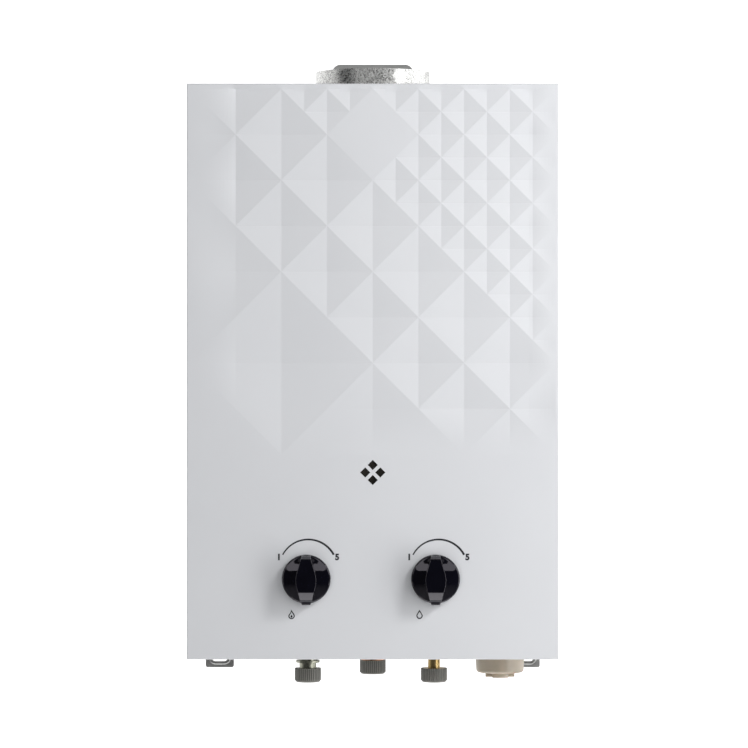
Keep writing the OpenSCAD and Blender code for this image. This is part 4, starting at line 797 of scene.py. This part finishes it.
# %% softened pieces
SOFT_EDGES = {
    "back_plate": 0.4, "top_panel": 0.25, "base_panel": 0.25, "flue_collar": 0.3, "cover_screws": 0.15,
    "gas_inlet_fitting": 0.25, "hot_outlet_fitting": 0.25, "cold_inlet_fitting": 0.25,
    "gas_cap": 0.15, "hot_cap": 0.15, "cold_cap": 0.15, "battery_cap": 0.7, "battery_tube": 0.3,
}
for node, width in SOFT_EDGES.items():
    piece = softened(node, width)
    print(piece.name, len(piece.data.polygons), "faces")

# %% [markdown]
# ### Beads round the lower slots
#
# A pressed bead stiffens the thin tab round each wall slot. It is a half-round ridge swept along an oval
# that lies just outside the slot. Its foot is sunk a little into the plate.

# %% slot beads
SLOT_X = 151.0
SLOT_DROP = 11.0
SLOT_R = 4.0
SLOT_END = 4.0
BEAD_OFF = 1.7
BEAD_R = 1.8
BEAD_FOOT = 0.9
BEAD_STEPS = 48
BEAD_ARC = np.radians(np.linspace(0, 180, 9))
BEAD_SMOOTH = 60


def bead_mesh(x, z):
    points = []
    faces = []
    for k in range(BEAD_STEPS):
        a = 2 * pi * (k + 0.5) / BEAD_STEPS
        middle = x + np.sign(cos(a)) * SLOT_END
        for b in BEAD_ARC:
            r = SLOT_R + BEAD_OFF + BEAD_R * cos(b)
            points.append((middle + r * cos(a), -BEAD_FOOT - BEAD_R * sin(b), z + r * sin(a)))
    width = len(BEAD_ARC)
    for k in range(BEAD_STEPS):
        for j in range(width - 1):
            a = k * width + j
            b = (k + 1) % BEAD_STEPS * width + j
            faces.append((a, a + 1, b + 1, b))
    mesh = make_mesh("bead", points, faces)
    shade(mesh, BEAD_SMOOTH)
    return mesh


for side, x in (("left", -SLOT_X), ("right", SLOT_X)):
    bead = bead_mesh(x, BOTTOM - SLOT_DROP)
    add_piece(side + "_slot_bead", bead, "casing", slot_of["back_plate"], finish=FINISH["steel"])
print("slot beads pressed")

# %% [markdown]
# ## The valve spring
#
# The gas valve's spring is pressed shorter as the push rod opens the valve, and its left end stays against
# the body. Here it keeps the shape of the construction model and rides on the casing.

# %% spring
SPRING_SMOOTH = 40
spring_mesh = frame["nodes"]["valve_spring"].data.copy()
spring = add_piece("valve_spring_coil", spring_mesh, "casing", "steel", "valve_spring")
shade(spring.data, SPRING_SMOOTH)
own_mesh(spring)

# %% [markdown]
# ## Finishes of the other pieces
#
# The works behind the cover keep their construction meshes. Each takes the finish of its material slot.

# %% finishes of the works
for node, item in frame["nodes"].items():
    item.data.materials.clear()
    item.data.materials.append(FINISH[slot_of[node]])
    shade(item.data)
print("finished nodes:", len(frame["nodes"]))

# %% [markdown]
# ## Studio
#
# A product photograph on white: a bright backdrop far behind with a wing on each side, and a pale floor
# well below. The room is dim, so the black knobs stay deep black. The right wing only shows in mirror
# images, because the lights on the right are enough for that side.

# %% studio
ROOM_COLOUR = (0.96, 0.98, 1.0, 1)
ROOM_STRENGTH = 0.06
scene.view_settings.view_transform = "Standard"
world = bpy.data.worlds.new("studio")
scene.world = world
world.use_nodes = True
room = world.node_tree.nodes["Background"]
room.inputs["Color"].default_value = ROOM_COLOUR
room.inputs["Strength"].default_value = ROOM_STRENGTH


def add_plane(name, corners, finish):
    mesh = bpy.data.meshes.new(name)
    mesh.from_pydata(corners, [], [(0, 1, 2, 3)])
    mesh.materials.append(finish)
    plane = bpy.data.objects.new(name, mesh)
    scene.collection.objects.link(plane)
    return plane


FLOOR_Z = -2.2
FLOOR_HALF = 9
STAGE_HALF = 6
STAGE_TOP = 4
BACKDROP_Y = 5.0
WING_Y = -1.6
SQUARE = [(-1, -1), (1, -1), (1, 1), (-1, 1)]
WHITE = (1, 1, 1, 1)
GLOW = {"backdrop": 1.05, "left_wing": 0.95, "right_wing": 2.3}


def wall_corners(start, end):
    return [(*start, FLOOR_Z), (*end, FLOOR_Z), (*end, STAGE_TOP), (*start, STAGE_TOP)]


pale = simple_finish("pale_floor", (0.78, 0.78, 0.78), (0.82, 0.82, 0.82), rough=(0.6, 0.7), scale=3.0)
floor_corners = [(dx * FLOOR_HALF, dy * FLOOR_HALF, FLOOR_Z) for dx, dy in SQUARE]
add_plane("floor", floor_corners, pale)
WALLS = {
    "backdrop": wall_corners((-STAGE_HALF, BACKDROP_Y), (STAGE_HALF, BACKDROP_Y)),
    "left_wing": wall_corners((-STAGE_HALF, WING_Y), (-STAGE_HALF, BACKDROP_Y)),
    "right_wing": wall_corners((STAGE_HALF, WING_Y), (STAGE_HALF, BACKDROP_Y)),
}
walls = {}
for name, corners in WALLS.items():
    glow = start_finish("white_" + name, Emission_Color=WHITE, Emission_Strength=GLOW[name])[0]
    walls[name] = add_plane(name, corners, glow)
walls["right_wing"].visible_diffuse = False
print("stage:", len(walls) + 1, "planes")

# %% [markdown]
# ### Lights
#
# A soft key light close on the right rakes across the relief and falls off towards the left. Two wide
# strips in front, one above the other, and a light below are what the black knobs mirror. Two lights
# aren't mirrored: a small one from the upper right, which draws the knobs' shadows, and a weak fill from
# the lower left.


# %% lights
def add_softbox(name, place, aim, width, height, power):
    light = bpy.data.lights.new(name, "AREA")
    light.shape = "RECTANGLE"
    light.size = width
    light.size_y = height
    light.energy = power
    lamp = bpy.data.objects.new(name, light)
    lamp.location = place
    lamp.rotation_euler = (Vector(aim) - Vector(place)).to_track_quat("-Z", "Y").to_euler()
    lamp.visible_camera = False
    scene.collection.objects.link(lamp)
    return lamp


FRONT_CENTRE = (0, FRONT * MM, 0)
KNOB_CENTRE = (0, FRONT * MM, KNOB_Z * MM)
LIGHTS = {
    "key": {"place": (1.10, -0.80, -0.05), "aim": FRONT_CENTRE, "width": 0.55, "height": 1.8, "power": 13.5},
    "strip": {"place": (0, -6.2, 1.98), "aim": KNOB_CENTRE, "width": 10.0, "height": 1.45, "power": 92},
    "ceiling": {"place": (0, -6.2, 3.95), "aim": KNOB_CENTRE, "width": 10.0, "height": 1.25, "power": 18},
    "under": {"place": (0, -0.08, -1.1), "aim": KNOB_CENTRE, "width": 1.6, "height": 0.42, "power": 4.5},
    "fill": {"place": (-1.0, -2.6, -1.0), "aim": FRONT_CENTRE, "width": 1.2, "height": 1.2, "power": 8},
    "upper": {"place": (0.96, -0.97, 0.70), "aim": FRONT_CENTRE, "width": 0.3, "height": 0.3, "power": 8.5},
}
lamps = {name: add_softbox(name, **setting) for name, setting in LIGHTS.items()}
for name in ("fill", "upper"):
    lamps[name].visible_glossy = False
print("lights:", len(lamps))

# %% [markdown]
# ## Camera
#
# The appliance is seen square from the front, from a few metres away with a long lens. A small shift puts
# it where it stands in the frame of the picture.

# %% camera
PICTURE = 748
FOCAL_PX = 3508
DISTANCE = 3.3
PANEL_CENTRE_PX = (372.75, 371.5)
SENSOR = 36
camera_data = bpy.data.cameras.new("camera")
camera_data.sensor_width = SENSOR
camera_data.lens = FOCAL_PX * SENSOR / PICTURE
camera_data.shift_x = (PICTURE / 2 - PANEL_CENTRE_PX[0]) / PICTURE
camera_data.shift_y = (PANEL_CENTRE_PX[1] - PICTURE / 2) / PICTURE
camera = bpy.data.objects.new("camera", camera_data)
camera.location = (0, FRONT * MM - DISTANCE, 0)
camera.rotation_euler = (radians(90), 0, 0)
scene.collection.objects.link(camera)
scene.camera = camera
print("camera", round(camera_data.lens, 1), "mm lens")
